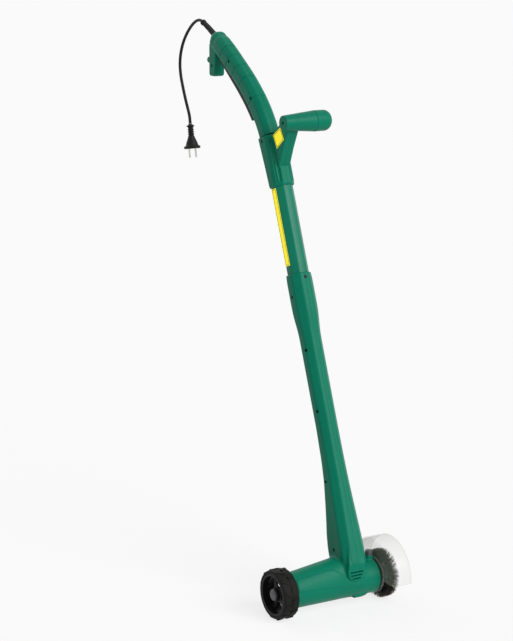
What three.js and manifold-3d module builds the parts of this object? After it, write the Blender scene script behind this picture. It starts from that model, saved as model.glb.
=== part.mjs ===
// Electric weed brush with a guide wheel, a side grip and a mains cord.
// Millimetres. X runs from the guide wheel to the brush, Y to the user's side, Z is up.
// While the tool is drawn, the head's axle lies on y = 0 and the two halves of the casing meet at x = 0.
import * as THREE from 'three';
import { mergeVertices } from 'three/addons/utils/BufferGeometryUtils.js';
import Module from 'manifold-3d';

const wasm = await Module();
wasm.setup();

// Clearances and cutting allowances
const gap = 0.3;
const overrun = 3;
const degree = Math.PI / 180;

// Number of sides on round solids
const barrelSides = 20;
const fineSides = 18;
const ringSides = 16;
const midSides = 12;
const smallSides = 10;
const screwSides = 8;
const rodSides = 6;

// Casing walls
const wall = 2.5;
const ribWidth = 3;

// Guide wheel
const wheelRadius = 50;
const wheelWidth = 33;
const wheelOuterFace = -176;
const tyreThickness = 8;
const lugHeight = 1.6;
const lugWidth = 6;
const lugCount = 12;
const lugSlant = 28 * degree;
const rimWall = 3;
const rimLip = 4;
const dishDepth = 9;
const wheelHubRadius = 13;
const spokeCount = 5;
const spokeWidth = 9;
const hubCapRadius = 11.5;
const hubCapThickness = 3;
const axleRadius = 5;
const clipThickness = 1.2;
const clipRadius = 8.5;

// Head casing round the motor and the gears
const axleHeight = wheelRadius;
const barrelRadius = 34;
const barrelCrownAtWheel = 2.5;
const barrelCrownAtFoot = 18.5;
const barrelToWheel = 4;
const barrelEndRound = 3;
const crownTurn = 8 * degree;
const brushSideSwell = 1;
const brushSideLength = 56;
const underPadRadius = 6;
const underPadLength = 30;
const underPadPlace = [-18, 22];

// Long pole of the casing
const poleLean = 20.4 * degree;
const poleFootForward = 28.3;
const poleLength = 622;
const footHalfWidth = 27;
const footHalfDepth = 38;
const footSetBack = 14;
const footSideShare = 0.8;
const neckMargin = 0.4;
const bellWall = 3.8;
const chamferShare = 0.5;
const cornerSoftShare = 0.3;
const tubeSeat = 545;
const cavityTopShare = 0.8;
const neckCavityShare = 0.75;

// Front tongue of the foot, with its air slots
const tongueHalfWidth = 20;
const tongueCentre = -5;
const tongueBottom = 57;
const tongueTop = 128;
const tongueTopReach = 26;
const tongueBottomReach = 37.5;
const slotLengths = [30, 26, 20];
const slotHeight = 2.6;
const slotPitch = 6.7;
const slotTop = 77;

// Shaft tube
const tubeHalfWidth = 20.5;
const tubeWall = 1.5;
const tubeTop = 868;

// Bracket, arm and side grip
const bracketBottom = 800;
const bracketTop = 905;
const bracketWall = 3.4;
const bracketSwell = 3.3;
const bracketSetBack = 5;
const armRoot = 838;
const armWall = 3;
const armHalfWidth = 14;
const gripRadius = 21;
const gripForward = 78;
const gripAbove = 35;
const gripLeftEnd = -25;
const gripSeam = 45;
const gripRightEnd = 84;
const gripEndRound = 5;
const gripWall = 3;

// Handle
const handleReach = 215;
const handleRise = 184;
const handleHalfWidth = 18.5;
const handleHalfDepth = 20;
const handleSetBack = 10;
const holdShare = 0.45;
const handleWall = 2.5;
const handleScrewShares = [0.3, 0.68];
const handleScrewBack = -7;
const spigotHalf = 14;
const spigotLength = 26;

// Cord hook at the handle's end
const hookHalfWidth = 11.7;
const hookDepth = 25;
const hookForward = 15;
const hookDrop = 80;
const hookScrewRise = 22;
const hookRound = 4;
const hookGapDrop = 31;
const nubLength = 17;
const nubHeight = 12.7;
const nubDrop = 54;
const nubHalfWidth = 7;

// Switch lever and switch
const leverHalfWidth = 8;
const leverProud = 6.5;
const leverSunk = 6;
const leverStart = 0.19;
const leverPivot = 0.77;
const leverEnd = 0.82;
const leverSlotShare = 0.01;
const leverPinRadius = 2;
const leverPinSunk = 4;
const leverBossRadius = 4.6;
const switchPlace = 0.42;
const switchHalfLength = 14;
const switchHalfWidth = 10;
const switchHalfHeight = 8;
const plungerRadius = 3;
const plungerSunk = 5;
const plungerWell = 11;

// Screws
const screwHeadRadius = 3.2;
const screwHeadHeight = 2.6;
const screwShankRadius = 1.6;
const screwLength = 20;
const screwTip = 2;
const screwSeat = -8;
const shortScrewLength = 9;
const screwBossWall = 2.2;
const poleScrewPlaces = [[72, 16], [206, 7], [345, -7], [468, -7]];
const bellScrewPlace = 577;
const collarScrewPlace = 612;

// Motor
const motorRadius = 26;
const motorBack = -112;
const motorFront = -52;
const motorWall = 1.6;
const motorShaftRadius = 2.5;
const magnetThickness = 4;
const magnetLength = 32;
const magnetOpening = 50 * degree;
const airGap = 0.8;
const coreLength = 20;
const coreSlots = 8;
const slotRootShare = 0.45;
const slotMouthShare = 0.78;
const windingLength = 6;
const windingRodRadius = 1.2;
const commutatorRadius = 8;
const commutatorLength = 8;
const carbonWidth = 5;
const carbonLength = 9;
const endCapThickness = 7;
const bearingRadius = 8;
const bearingWidth = 5;
const fanRadius = 24;
const fanHubRadius = 10;
const fanBlades = 9;
const fanThickness = 9;
const fanDisc = 2;

// Gears: two steps between the motor, the idler shaft and the spindle
const gearModule = 1;
const motorTeeth = 9;
const idlerWheelTeeth = 31;
const idlerPinionTeeth = 10;
const spindleTeeth = 30;
const gearFace = 8;
const gearTipSlack = 0.25;
const gearRootShare = 1.25;
const toothBacklash = 0.3;
const toothRootShare = 1.3;
const toothTipShare = 0.5;
const shaftDistance = (motorTeeth + idlerWheelTeeth) * gearModule / 2;
const idlerShaftRadius = 3;
const plateThickness = 3;
const upperPlateRadius = 9;
const firstPlate = -38;
const secondPlate = -10;

// Spindle, its bearings and its lock
const spindleRadius = 5;
const spindleEnd = 95;
const spindleRunningGap = 0.16;
const outerBearingRadius = 13;
const outerBearingStart = 30;
const outerBearingWidth = 10;
const lockPlace = 48;
const lockCollarRadius = 12;
const lockCollarWidth = 6;
const lockNotchDepth = 4.5;
const lockPinRadius = 2.2;
const lockHeadRadius = 7;
const lockHeadHeight = 12;
const lockTravel = 4;
const lockBossHeight = 9;

// Brush
const brushRadius = 50;
const brushCoreRadius = 17;
const brushFlangeRadius = 18;
const brushStart = 65;
const brushWidth = 24;
const bristleRoot = 14;
const bristleRows = 4;
const bristleColumns = 38;
const tipShare = 0.26;
const tipMarginShare = 0.02;
const flangeThickness = 2.5;
const nutRadius = 8.5;
const nutThickness = 5;

// Clear guard over the brush
const guardRadius = 75;
const guardWall = 2.5;
const guardStart = 57;
const guardEnd = 100;
const guardFront = 184 * degree;
const guardRear = -24 * degree;
const guardCollarRadius = 36;
const guardCollarWidth = 5;
const guardHoleRadius = 22;
const flankForwardShare = 0.9;
const flankDropShare = 0.4;

// Mains cord: strain relief, cord and plug
const cordRadius = 3.2;
const cordSides = 8;
const cordSteps = 24;
const reliefStart = [506, 1077.5];
const reliefBend = [546, 1100];
const reliefTip = [566, 1107];
const reliefBaseRadius = 6.6;
const reliefTipRadius = 5;
const reliefCollarRadius = 6.3;
const reliefCollarLength = 5;
const cordPoints = [
  [566.3, 1107.1], [572, 1109], [579, 1110.2], [588, 1109.3], [600, 1105], [612, 1098], [624, 1088.8],
  [635, 1078.4], [645, 1067], [653, 1055], [659.5, 1042], [664, 1028], [666, 1013], [665, 998], [661.5, 983],
  [656, 968], [650, 953.5], [643.5, 939], [636.5, 925], [630, 912.5], [626, 903], [624, 893.5], [623, 887],
];
const plugLean = 9 * degree;
const plugTwist = 16 * degree;
const plugLength = 53;
const plugTopRadius = 5;
const plugNeckRadius = 6;
const plugFlangeRadius = 17.5;
const plugFlangeThickness = 6;
const plugBodyRadius = 12;
const plugRimRadius = 8.5;
const plugRimThickness = 3;
const pinRadius = 2.4;
const pinLength = 19;
const pinSpacing = 19;
const leadRadius = 3;
const leadInTube = 8;
const leadRise = 8;
const leadSides = 6;
const leadSteps = 26;
const leadHandleShares = [0.3, 0.15];

// Shape helpers: each returns a closed solid

function weld(source) {
  const bare = source.index ? source.toNonIndexed() : source.clone();
  bare.deleteAttribute('normal');
  bare.deleteAttribute('uv');
  const merged = mergeVertices(bare, gap / 1000);
  const place = merged.attributes.position;
  const kept = [];
  let volume = 0;
  for (let i = 0; i < merged.index.count; i += 3) {
    const [a, b, c] = [0, 1, 2].map((k) => merged.index.getX(i + k));
    if (a === b || b === c || a === c) continue;
    const corners = [a, b, c].map((k) => new THREE.Vector3().fromBufferAttribute(place, k));
    volume += corners[0].dot(corners[1].clone().cross(corners[2]));
    kept.push(a, b, c);
  }
  if (volume < 0) kept.reverse();
  return { vertProperties: new Float32Array(place.array), triVerts: new Uint32Array(kept) };
}

function solidOf(geometry) {
  const { vertProperties, triVerts } = weld(geometry);
  return new wasm.Manifold(new wasm.Mesh({ numProp: 3, vertProperties, triVerts }));
}

function join(...solids) {
  return solids.flat().reduce((sum, next) => sum.add(next));
}

function cut(body, ...cutters) {
  return cutters.flat().reduce((rest, cutter) => rest.subtract(cutter), body);
}

function block([x0, x1], [y0, y1], [z0, z1]) {
  const box = new THREE.BoxGeometry(x1 - x0, y1 - y0, z1 - z0);
  return solidOf(box.translate((x0 + x1) / 2, (y0 + y1) / 2, (z0 + z1) / 2));
}

// A round bar from one point to another, straight or tapered
function bar(from, to, startRadius, endRadius = startRadius, sides = smallSides) {
  const start = new THREE.Vector3(...from);
  const along = new THREE.Vector3(...to).sub(start);
  const bare = new THREE.CylinderGeometry(endRadius, startRadius, along.length(), sides);
  const turn = new THREE.Quaternion().setFromUnitVectors(
    new THREE.Vector3(0, 1, 0), along.clone().normalize(),
  );
  bare.applyQuaternion(turn);
  const middle = start.addScaledVector(along, 1 / 2);
  return solidOf(bare.translate(middle.x, middle.y, middle.z));
}

// A profile of [x, radius] pairs turned about a line along X
function turned(profile, sides = fineSides, y = 0, z = axleHeight) {
  const points = profile.map(([x, radius]) => new THREE.Vector2(radius, x));
  const bare = new THREE.LatheGeometry(points, sides);
  bare.rotateZ(-Math.PI / 2);
  return solidOf(bare.translate(0, y, z));
}

function disc(x0, x1, radius, sides = fineSides, y = 0, z = axleHeight) {
  return turned([[x0, 0], [x0, radius], [x1, radius], [x1, 0]], sides, y, z);
}

function ring(x0, x1, inner, outer, sides = fineSides, y = 0, z = axleHeight) {
  return turned([[x0, inner], [x0, outer], [x1, outer], [x1, inner], [x0, inner]], sides, y, z);
}

// An outline swept straight along one axis: [y, z] pairs along X, [x, z] pairs along Y
const sweepFrames = {
  x: [new THREE.Vector3(0, 1, 0), new THREE.Vector3(0, 0, 1), new THREE.Vector3(1, 0, 0)],
  y: [new THREE.Vector3(1, 0, 0), new THREE.Vector3(0, 0, 1), new THREE.Vector3(0, -1, 0)],
};

function prism(axis, outline, from, to) {
  const shape = new THREE.Shape(outline.map(([u, v]) => new THREE.Vector2(u, v)));
  const bare = new THREE.ExtrudeGeometry(shape, { depth: to - from, bevelEnabled: false });
  bare.applyMatrix4(new THREE.Matrix4().makeBasis(...sweepFrames[axis]));
  return solidOf(axis === 'x' ? bare.translate(from, 0, 0) : bare.translate(0, to, 0));
}

// Rings of points joined into one skin and closed at both ends
function loft(rings) {
  const count = rings[0].length;
  const triangles = [];
  const corner = (row, k) => rings[row][(k + count) % count];
  for (let row = 0; row + 1 < rings.length; row += 1) {
    for (let k = 0; k < count; k += 1) {
      triangles.push(corner(row, k), corner(row, k + 1), corner(row + 1, k + 1));
      triangles.push(corner(row, k), corner(row + 1, k + 1), corner(row + 1, k));
    }
  }
  const last = rings.length - 1;
  for (let k = 1; k + 1 < count; k += 1) {
    triangles.push(corner(0, 0), corner(0, k + 1), corner(0, k));
    triangles.push(corner(last, 0), corner(last, k), corner(last, k + 1));
  }
  const bare = new THREE.BufferGeometry().setFromPoints(triangles);
  return solidOf(bare);
}

// A round tube along points in space, with flat ends
function pipe(points, radius, sides, steps) {
  const path = new THREE.CatmullRomCurve3(points, false, 'centripetal');
  const outline = Array.from({ length: sides }, (_, k) => {
    const angle = 2 * Math.PI * k / sides;
    return new THREE.Vector2(radius * Math.cos(angle), radius * Math.sin(angle));
  });
  const options = { steps, extrudePath: path, bevelEnabled: false };
  return solidOf(new THREE.ExtrudeGeometry(new THREE.Shape(outline), options));
}

// Points [u, v] of an eight-sided section, its corners softened on the outside of a casing
function octagon(halfWidth, halfDepth, chamfer, softened = true) {
  const corners = [];
  for (const [su, sv, first] of [[1, 1, 'u'], [-1, 1, 'v'], [-1, -1, 'u'], [1, -1, 'v']]) {
    const onSide = [su * halfWidth, sv * (halfDepth - chamfer)];
    const onEnd = [su * (halfWidth - chamfer), sv * halfDepth];
    corners.push(...(first === 'u' ? [onSide, onEnd] : [onEnd, onSide]));
  }
  if (!softened) return corners;
  const soft = [];
  corners.forEach((here, k) => {
    const before = corners[(k + 7) % 8];
    const after = corners[(k + 1) % 8];
    for (const other of [before, after]) {
      const reach = Math.hypot(other[0] - here[0], other[1] - here[1]);
      const share = cornerSoftShare * chamfer / reach;
      soft.push([here[0] + (other[0] - here[0]) * share, here[1] + (other[1] - here[1]) * share]);
    }
  });
  return soft;
}

// A section stood square to a path that leans back by an angle
function standSection(section, centre, lean) {
  return section.map(([u, v]) => new THREE.Vector3(
    u, centre[0] + v * Math.cos(lean), centre[1] - v * Math.sin(lean),
  ));
}

const parts = new THREE.Group();

function addPart(name, solid, finish) {
  const { numProp, vertProperties, triVerts } = solid.getMesh();
  const geometry = new THREE.BufferGeometry();
  const place = new THREE.InterleavedBufferAttribute(
    new THREE.InterleavedBuffer(vertProperties, numProp), 3, 0,
  );
  geometry.setAttribute('position', new THREE.BufferAttribute(
    Float32Array.from({ length: place.count * 3 }, (_, k) => place.getComponent(Math.floor(k / 3), k % 3)),
    3,
  ));
  geometry.setIndex(new THREE.BufferAttribute(new Uint32Array(triVerts), 1));
  geometry.computeVertexNormals();
  const [color, roughness, metalness] = finish;
  const mesh = new THREE.Mesh(geometry, new THREE.MeshStandardMaterial({ color, roughness, metalness }));
  mesh.name = name;
  parts.add(mesh);
  return mesh;
}

// Finishes: colour, roughness, metalness
const greenPlastic = [0x00695a, 0.45, 0];
const blackPlastic = [0x1b1b1a, 0.5, 0];
const blackRubber = [0x1d1d1c, 0.8, 0];
const greyPlastic = [0x6d7073, 0.5, 0];
const clearPlastic = [0xdad9d2, 0.1, 0];
const brightSteel = [0xb4b6b8, 0.3, 1];
const darkSteel = [0x3d3f42, 0.45, 1];
const blackenedScrew = [0x202224, 0.45, 1];
const copper = [0xb06a3c, 0.35, 1];
const brass = [0xc2a24e, 0.3, 1];
const ferrite = [0x33312f, 0.7, 0];
const nylon = [0xe6e2d6, 0.5, 0];
const greenTube = [0x00614f, 0.4, 0.2];

// The pole: distance along it from the axle's height, and distance back from its middle
function alongPole(distance, back = 0) {
  return [
    -poleFootForward + distance * Math.sin(poleLean) + back * Math.cos(poleLean),
    axleHeight + distance * Math.cos(poleLean) - back * Math.sin(poleLean),
  ];
}

const neckHalf = tubeHalfWidth + neckMargin;
const bellHalf = tubeHalfWidth + gap + bellWall;
const tubeChamferShare = 2 - Math.SQRT2;

// Pole stations: share of the length, share of the foot's flare, share of the bell's swell
const poleShares = [
  [0.06, 1, 0], [0.12, 1, 0], [0.169, 0.86, 0], [0.2, 0.71, 0], [0.265, 0.45, 0], [0.331, 0.21, 0],
  [0.395, 0.08, 0], [0.5, 0, 0], [0.79, 0, 0], [0.82, 0, 0.18], [0.849, 0, 0.66],
  [0.875, 0, 0.94], [0.9, 0, 1], [0.985, 0, 1], [1, 0, 0.7],
];

function poleHull(inset, fromShare, toShare) {
  const rings = poleShares.filter(([along]) => along >= fromShare && along <= toShare);
  return loft(rings.map(([along, flare, bell]) => {
    const halfWidth = neckHalf + flare * (footHalfWidth - neckHalf) + bell * (bellHalf - neckHalf);
    const halfDepth = neckHalf + flare * (footHalfDepth - neckHalf) + bell * (bellHalf - neckHalf);
    const chamfer = halfWidth * (tubeChamferShare + flare * (chamferShare - tubeChamferShare));
    const section = octagon(
      halfWidth - inset, halfDepth - inset, chamfer - inset * chamferShare, inset === 0,
    );
    return standSection(section, alongPole(along * poleLength, footSetBack * flare), poleLean);
  }));
}

// The barrel round the motor: round below, crowned above towards the foot
const barrelLeft = wheelOuterFace + wheelWidth + barrelToWheel;

function barrelRing(x, inset) {
  const share = (x - barrelLeft) / (0 - barrelLeft);
  const crown = barrelCrownAtWheel + (barrelCrownAtFoot - barrelCrownAtWheel) * share;
  return Array.from({ length: barrelSides }, (_, k) => {
    const angle = 2 * Math.PI * k / barrelSides;
    const lift = Math.max(0, Math.sin(angle + crownTurn)) ** 2;
    const radius = barrelRadius + crown * lift - inset;
    return new THREE.Vector3(x, radius * Math.cos(angle), axleHeight + radius * Math.sin(angle));
  });
}

const footSide = footHalfWidth * footSideShare;
const brushSideRadius = barrelRadius + brushSideSwell;
const barrelHull = join(
  loft([
    barrelRing(barrelLeft, barrelEndRound), barrelRing(barrelLeft + barrelEndRound, 0),
    barrelRing(barrelLeft / 2, 0), barrelRing(-footSide, 0), barrelRing(0, 0),
  ]),
  turned([
    [-footSide, 0], [-footSide, brushSideRadius], [brushSideLength - barrelEndRound, brushSideRadius],
    [brushSideLength, brushSideRadius - barrelEndRound], [brushSideLength, 0],
  ]),
);
const barrelCavity = join(
  loft([
    barrelRing(barrelLeft + 4 * ribWidth, wall), barrelRing(barrelLeft / 2, wall),
    barrelRing(0, wall),
  ]),
  disc(-footSide, brushSideLength - ribWidth, brushSideRadius - wall),
);

// Tongue: a flat U-shaped front on the foot
const tongueSteps = 12;
const tongueArc = Array.from({ length: tongueSteps + 1 }, (_, k) => {
  const angle = Math.PI + Math.PI * k / tongueSteps;
  return [
    tongueCentre + tongueHalfWidth * Math.cos(angle),
    tongueBottom + tongueHalfWidth * (1 + Math.sin(angle)),
  ];
});
const tongueOutline = [
  ...tongueArc, [tongueCentre + tongueHalfWidth, tongueTop], [tongueCentre - tongueHalfWidth, tongueTop],
];
const tongueSide = [
  [0, tongueBottom - overrun], [-tongueBottomReach, tongueBottom - overrun],
  [-tongueBottomReach, tongueBottom + tongueHalfWidth], [-tongueTopReach, tongueTop], [0, tongueTop],
];
const tongue = prism('y', tongueOutline, -tongueBottomReach - overrun, 0).intersect(
  prism('x', tongueSide, tongueCentre - tongueHalfWidth - overrun, tongueCentre + tongueHalfWidth + overrun),
);
const airSlots = slotLengths.map((length, k) => block(
  [tongueCentre - length / 2, tongueCentre + length / 2],
  [-tongueBottomReach - overrun, -barrelRadius + 2 * wall],
  [slotTop - k * slotPitch - slotHeight, slotTop - k * slotPitch],
));

// Pad under the gears
const underPad = disc(0, underPadLength, underPadRadius, smallSides, ...underPadPlace);

// Casing screws on the left face: four hold the halves together, the top one holds the tube
const poleScrews = poleScrewPlaces.map(([along, back]) => alongPole(along, back));
const bellScrew = alongPole(bellScrewPlace, 0);
const bellScrewSeat = -(bellHalf - screwHeadHeight);

const shankHoleRadius = screwShankRadius + gap;
const headHoleRadius = screwHeadRadius + gap;
const screwBossRadius = headHoleRadius + screwBossWall / 2;

function screw(y, z, seat = screwSeat, length = screwLength) {
  const under = seat - gap;
  return turned([
    [under - screwHeadHeight, 0], [under - screwHeadHeight, screwHeadRadius], [under, screwHeadRadius],
    [under, screwShankRadius], [under + length - screwTip, screwShankRadius], [under + length, 0],
  ], screwSides, y, z);
}

function screwBoss(y, z, from, to) {
  return disc(from, to, screwBossRadius, screwSides, y, z);
}

function screwHole(y, z, reach, seat = screwSeat, length = screwLength) {
  return join(
    disc(-reach, seat, headHoleRadius, screwSides, y, z),
    disc(seat - overrun, seat - gap + length + gap, shankHoleRadius, screwSides, y, z),
  );
}

// Ribs that carry the motor and the outer bearing
const plateOutline = (from, to) => join(
  disc(from, to, barrelRadius - wall - 2 * gap, ringSides),
  disc(from, to, upperPlateRadius, midSides, 0, axleHeight + shaftDistance),
);
const motorRibs = [motorBack + 4 * ribWidth, motorFront - 4 * ribWidth].map((x) => cut(
  disc(x, x + ribWidth, barrelRadius - wall / 2),
  disc(x - overrun, x + ribWidth + overrun, motorRadius + 2 * gap),
));
const bearingRib = ring(
  outerBearingStart, outerBearingStart + outerBearingWidth, outerBearingRadius + gap, barrelRadius,
);
const axleBore = disc(barrelLeft - overrun, barrelLeft + 5 * ribWidth, axleRadius + gap, midSides);
const spindleExit = disc(
  brushSideLength - 2 * ribWidth, brushSideLength + overrun, spindleRadius + 2 * wall, ringSides,
);

// Spindle lock: boss on the brush side's top, bored for the button
const lockTop = axleHeight + barrelRadius + lockBossHeight;
const lockBossRadius = lockHeadRadius + gap + wall / 2;
const lockFloor = axleHeight + barrelRadius - wall;
const lockHeadBottom = lockTop - wall;
const onLock = (z) => [lockPlace, 0, z];
const lockBoss = bar(onLock(lockFloor), onLock(lockTop), lockBossRadius, lockBossRadius, midSides);
const lockBores = join(
  bar(onLock(lockHeadBottom - lockTravel - gap), onLock(lockTop + overrun), lockHeadRadius + gap,
    lockHeadRadius + gap, smallSides),
  bar(onLock(axleHeight + lockCollarRadius), onLock(lockTop), lockPinRadius + gap, lockPinRadius + gap,
    screwSides),
);

// Lower casing, cut into its two halves
const tubeBore = loft([tubeSeat, poleLength + overrun].map((along) => {
  const half = tubeHalfWidth + gap;
  return standSection(octagon(half, half, half * tubeChamferShare, false), alongPole(along), poleLean);
}));
const poleCavity = join(
  poleHull(wall, 0, cavityTopShare),
  loft([neckCavityShare * poleLength, tubeSeat + overrun].map((along) => {
    const half = neckHalf - wall;
    return standSection(octagon(half, half, half * tubeChamferShare, false), alongPole(along), poleLean);
  })),
  tubeBore,
);
const lowerBosses = poleScrews.map(([y, z]) => screwBoss(y, z, -footHalfWidth, footHalfWidth));
const lowerHull = join(barrelHull, poleHull(0, 0, 1), tongue, underPad, lockBoss);
const lowerHollow = cut(
  join(barrelCavity, poleCavity),
  [...motorRibs, bearingRib, ...lowerBosses],
);
const lowerCutters = [
  lowerHollow, axleBore, spindleExit, lockBores, ...airSlots,
  ...poleScrews.map(([y, z]) => screwHole(y, z, barrelCrownAtFoot + footHalfWidth)),
  screwHole(...bellScrew, bellHalf + overrun, bellScrewSeat, shortScrewLength),
];
const lowerCasing = cut(lowerHull, lowerCutters);

const farSide = 2 * (guardRadius + wheelRadius);
const farTop = 2 * (poleLength + handleRise + handleReach);
const leftHalf = block([-farSide, -gap / 2], [-farTop, farTop], [-farTop, farTop]);
const rightHalf = block([gap / 2, farSide], [-farTop, farTop], [-farTop, farTop]);

// The collar screw comes in from the front, through the bell into the tube
function frontBar(fromBack, toBack, radius) {
  const from = alongPole(collarScrewPlace, fromBack);
  const to = alongPole(collarScrewPlace, toBack);
  return bar([0, ...from], [0, ...to], radius, radius, screwSides);
}
const collarHeadBack = -(bellHalf - screwHeadHeight / 4);
const collarHole = join(
  frontBar(-bellHalf - overrun, collarHeadBack + screwHeadHeight / 2 + gap, headHoleRadius),
  frontBar(-bellHalf - overrun, -tubeHalfWidth + 4 * wall, shankHoleRadius),
);
addPart('body_shell_left', cut(lowerCasing.intersect(leftHalf), collarHole), greenPlastic);
addPart('body_shell_right', cut(lowerCasing.intersect(rightHalf), collarHole), greenPlastic);
poleScrews.forEach(([y, z], k) => addPart(`body_screw_${k + 1}`, screw(y, z), blackenedScrew));
addPart('bell_screw', screw(...bellScrew, bellScrewSeat, shortScrewLength), blackenedScrew);
addPart('tube_screw', join(
  frontBar(collarHeadBack - screwHeadHeight / 2, collarHeadBack + screwHeadHeight / 2, screwHeadRadius),
  frontBar(collarHeadBack, -tubeHalfWidth + 3 * wall, screwShankRadius),
), blackenedScrew);

// Guide wheel: tread ring with slanted lugs, dished rim with spokes, fixed axle, clip and cap
const wheelInnerFace = wheelOuterFace + wheelWidth;
const wheelMiddle = wheelOuterFace + wheelWidth / 2;
const treadRadius = wheelRadius - lugHeight;
const rimOuter = wheelRadius - tyreThickness - gap;
const rimInner = rimOuter - rimWall;

function lug(k) {
  const side = k % 2 === 0 ? 1 : -1;
  const reach = wheelWidth / 2 - 2 * lugHeight;
  const bare = new THREE.BoxGeometry(reach, lugWidth, 2 * lugHeight);
  bare.rotateZ(side * lugSlant);
  bare.translate(side * reach / 2, 0, treadRadius);
  bare.rotateX(2 * Math.PI * k / (2 * lugCount));
  return solidOf(bare.translate(wheelMiddle, 0, axleHeight));
}

const tyreRing = turned([
  [wheelOuterFace, rimOuter + gap], [wheelOuterFace, treadRadius - lugHeight],
  [wheelOuterFace + 2 * lugHeight, treadRadius], [wheelInnerFace - 2 * lugHeight, treadRadius],
  [wheelInnerFace, treadRadius - lugHeight], [wheelInnerFace, rimOuter + gap],
  [wheelOuterFace, rimOuter + gap],
], 2 * lugCount);
const lugs = Array.from({ length: 2 * lugCount }, (_, k) => lug(k));
const lugHull = disc(wheelOuterFace, wheelInnerFace, wheelRadius, 2 * lugCount);
addPart('wheel_tyre', join(tyreRing, join(lugs).intersect(lugHull)), blackRubber);

const dishPlace = wheelOuterFace + dishDepth;
const rimBarrel = turned([
  [wheelOuterFace, rimInner - rimLip], [wheelOuterFace, rimOuter], [wheelInnerFace, rimOuter],
  [wheelInnerFace, rimInner], [wheelOuterFace + rimWall, rimInner],
  [wheelOuterFace + rimWall, rimInner - rimLip], [wheelOuterFace, rimInner - rimLip],
], 2 * lugCount);
const dish = turned([
  [dishPlace, 0], [dishPlace, wheelHubRadius], [dishPlace + rimWall, rimInner + rimWall / 2],
  [dishPlace + 3 * rimWall, rimInner + rimWall / 2], [dishPlace + 2 * rimWall, wheelHubRadius],
  [dishPlace + 2 * rimWall, 0],
], fineSides);
const hubBarrel = disc(wheelOuterFace + hubCapThickness + gap, wheelInnerFace, wheelHubRadius, midSides);
const spokeGaps = Array.from({ length: spokeCount }, (_, k) => {
  const edge = (radius, side) => {
    const angle = 2 * Math.PI * (k + 1 / 2) / spokeCount;
    const half = Math.PI / spokeCount - spokeWidth / 2 / radius;
    return [radius * Math.cos(angle + side * half), axleHeight + radius * Math.sin(angle + side * half)];
  };
  const near = wheelHubRadius + rimWall;
  const far = rimInner - rimWall;
  return prism('x', [
    edge(near, -1), edge(far, -1), edge(far, 0), edge(far, 1), edge(near, 1),
  ], wheelOuterFace, wheelInnerFace);
});
const wheelBore = disc(wheelOuterFace - overrun, wheelInnerFace + overrun, axleRadius + gap, midSides);
const clipStart = wheelOuterFace + hubCapThickness + 2 * gap + clipThickness;
const clipPocket = disc(wheelOuterFace - overrun, clipStart + 2 * clipThickness, clipRadius + gap, midSides);
addPart('wheel_rim', cut(join(rimBarrel, dish, hubBarrel), spokeGaps, wheelBore, clipPocket), blackPlastic);

const axleFlangeRadius = axleRadius + wall;
const axleEnd = barrelLeft + 4 * ribWidth;
addPart('wheel_axle', join(
  disc(clipStart - clipThickness, axleEnd, axleRadius, midSides),
  disc(wheelInnerFace + gap, barrelLeft - gap, axleFlangeRadius, midSides),
), brightSteel);
addPart('axle_clip', ring(
  clipStart + gap, clipStart + clipThickness, axleRadius + gap, clipRadius, ringSides,
), darkSteel);
const capStem = clipRadius - gap;
addPart('hub_cap', join(
  turned([
    [wheelOuterFace, 0], [wheelOuterFace, hubCapRadius - hubCapThickness / 2],
    [wheelOuterFace + hubCapThickness / 2, hubCapRadius],
    [wheelOuterFace + hubCapThickness, hubCapRadius], [wheelOuterFace + hubCapThickness, 0],
  ], midSides),
  disc(wheelOuterFace, clipStart - clipThickness - gap, capStem, midSides),
), greyPlastic);

// Motor: can with its magnet, end cap, bearings and carbons
const shaftBore = motorShaftRadius + gap;
const canFloor = motorBack + bearingWidth + motorWall;
addPart('motor_can', turned([
  [motorBack, shaftBore + motorWall], [motorBack, bearingRadius + gap + motorWall],
  [canFloor - motorWall, bearingRadius + gap + motorWall], [canFloor - motorWall, motorRadius],
  [motorFront, motorRadius], [motorFront, motorRadius - motorWall],
  [canFloor, motorRadius - motorWall], [canFloor, bearingRadius + gap],
  [motorBack + motorWall, bearingRadius + gap], [motorBack + motorWall, shaftBore + motorWall],
  [motorBack, shaftBore + motorWall],
], fineSides), brightSteel);
const bearingRear = motorBack + motorWall + gap;
addPart('motor_bearing_rear', ring(
  bearingRear, bearingRear + bearingWidth - gap, shaftBore, bearingRadius, ringSides,
), brightSteel);
const magnetOuter = motorRadius - motorWall - 2 * gap;
const magnetInner = magnetOuter - magnetThickness;
const magnetStart = canFloor + ribWidth / 2;
const magnetPolar = (radius, angle) => [radius * Math.cos(angle), axleHeight + radius * Math.sin(angle)];
const magnetSpan = 2 * Math.PI - magnetOpening;
const magnetAngles = Array.from({ length: ringSides + 1 }, (_, k) => (
  magnetOpening / 2 + magnetSpan * k / ringSides
));
addPart('motor_magnet', prism('x', [
  ...magnetAngles.map((angle) => magnetPolar(magnetOuter, angle)),
  ...magnetAngles.map((angle) => magnetPolar(magnetInner, angle)).reverse(),
], magnetStart, magnetStart + magnetLength), ferrite);

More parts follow.
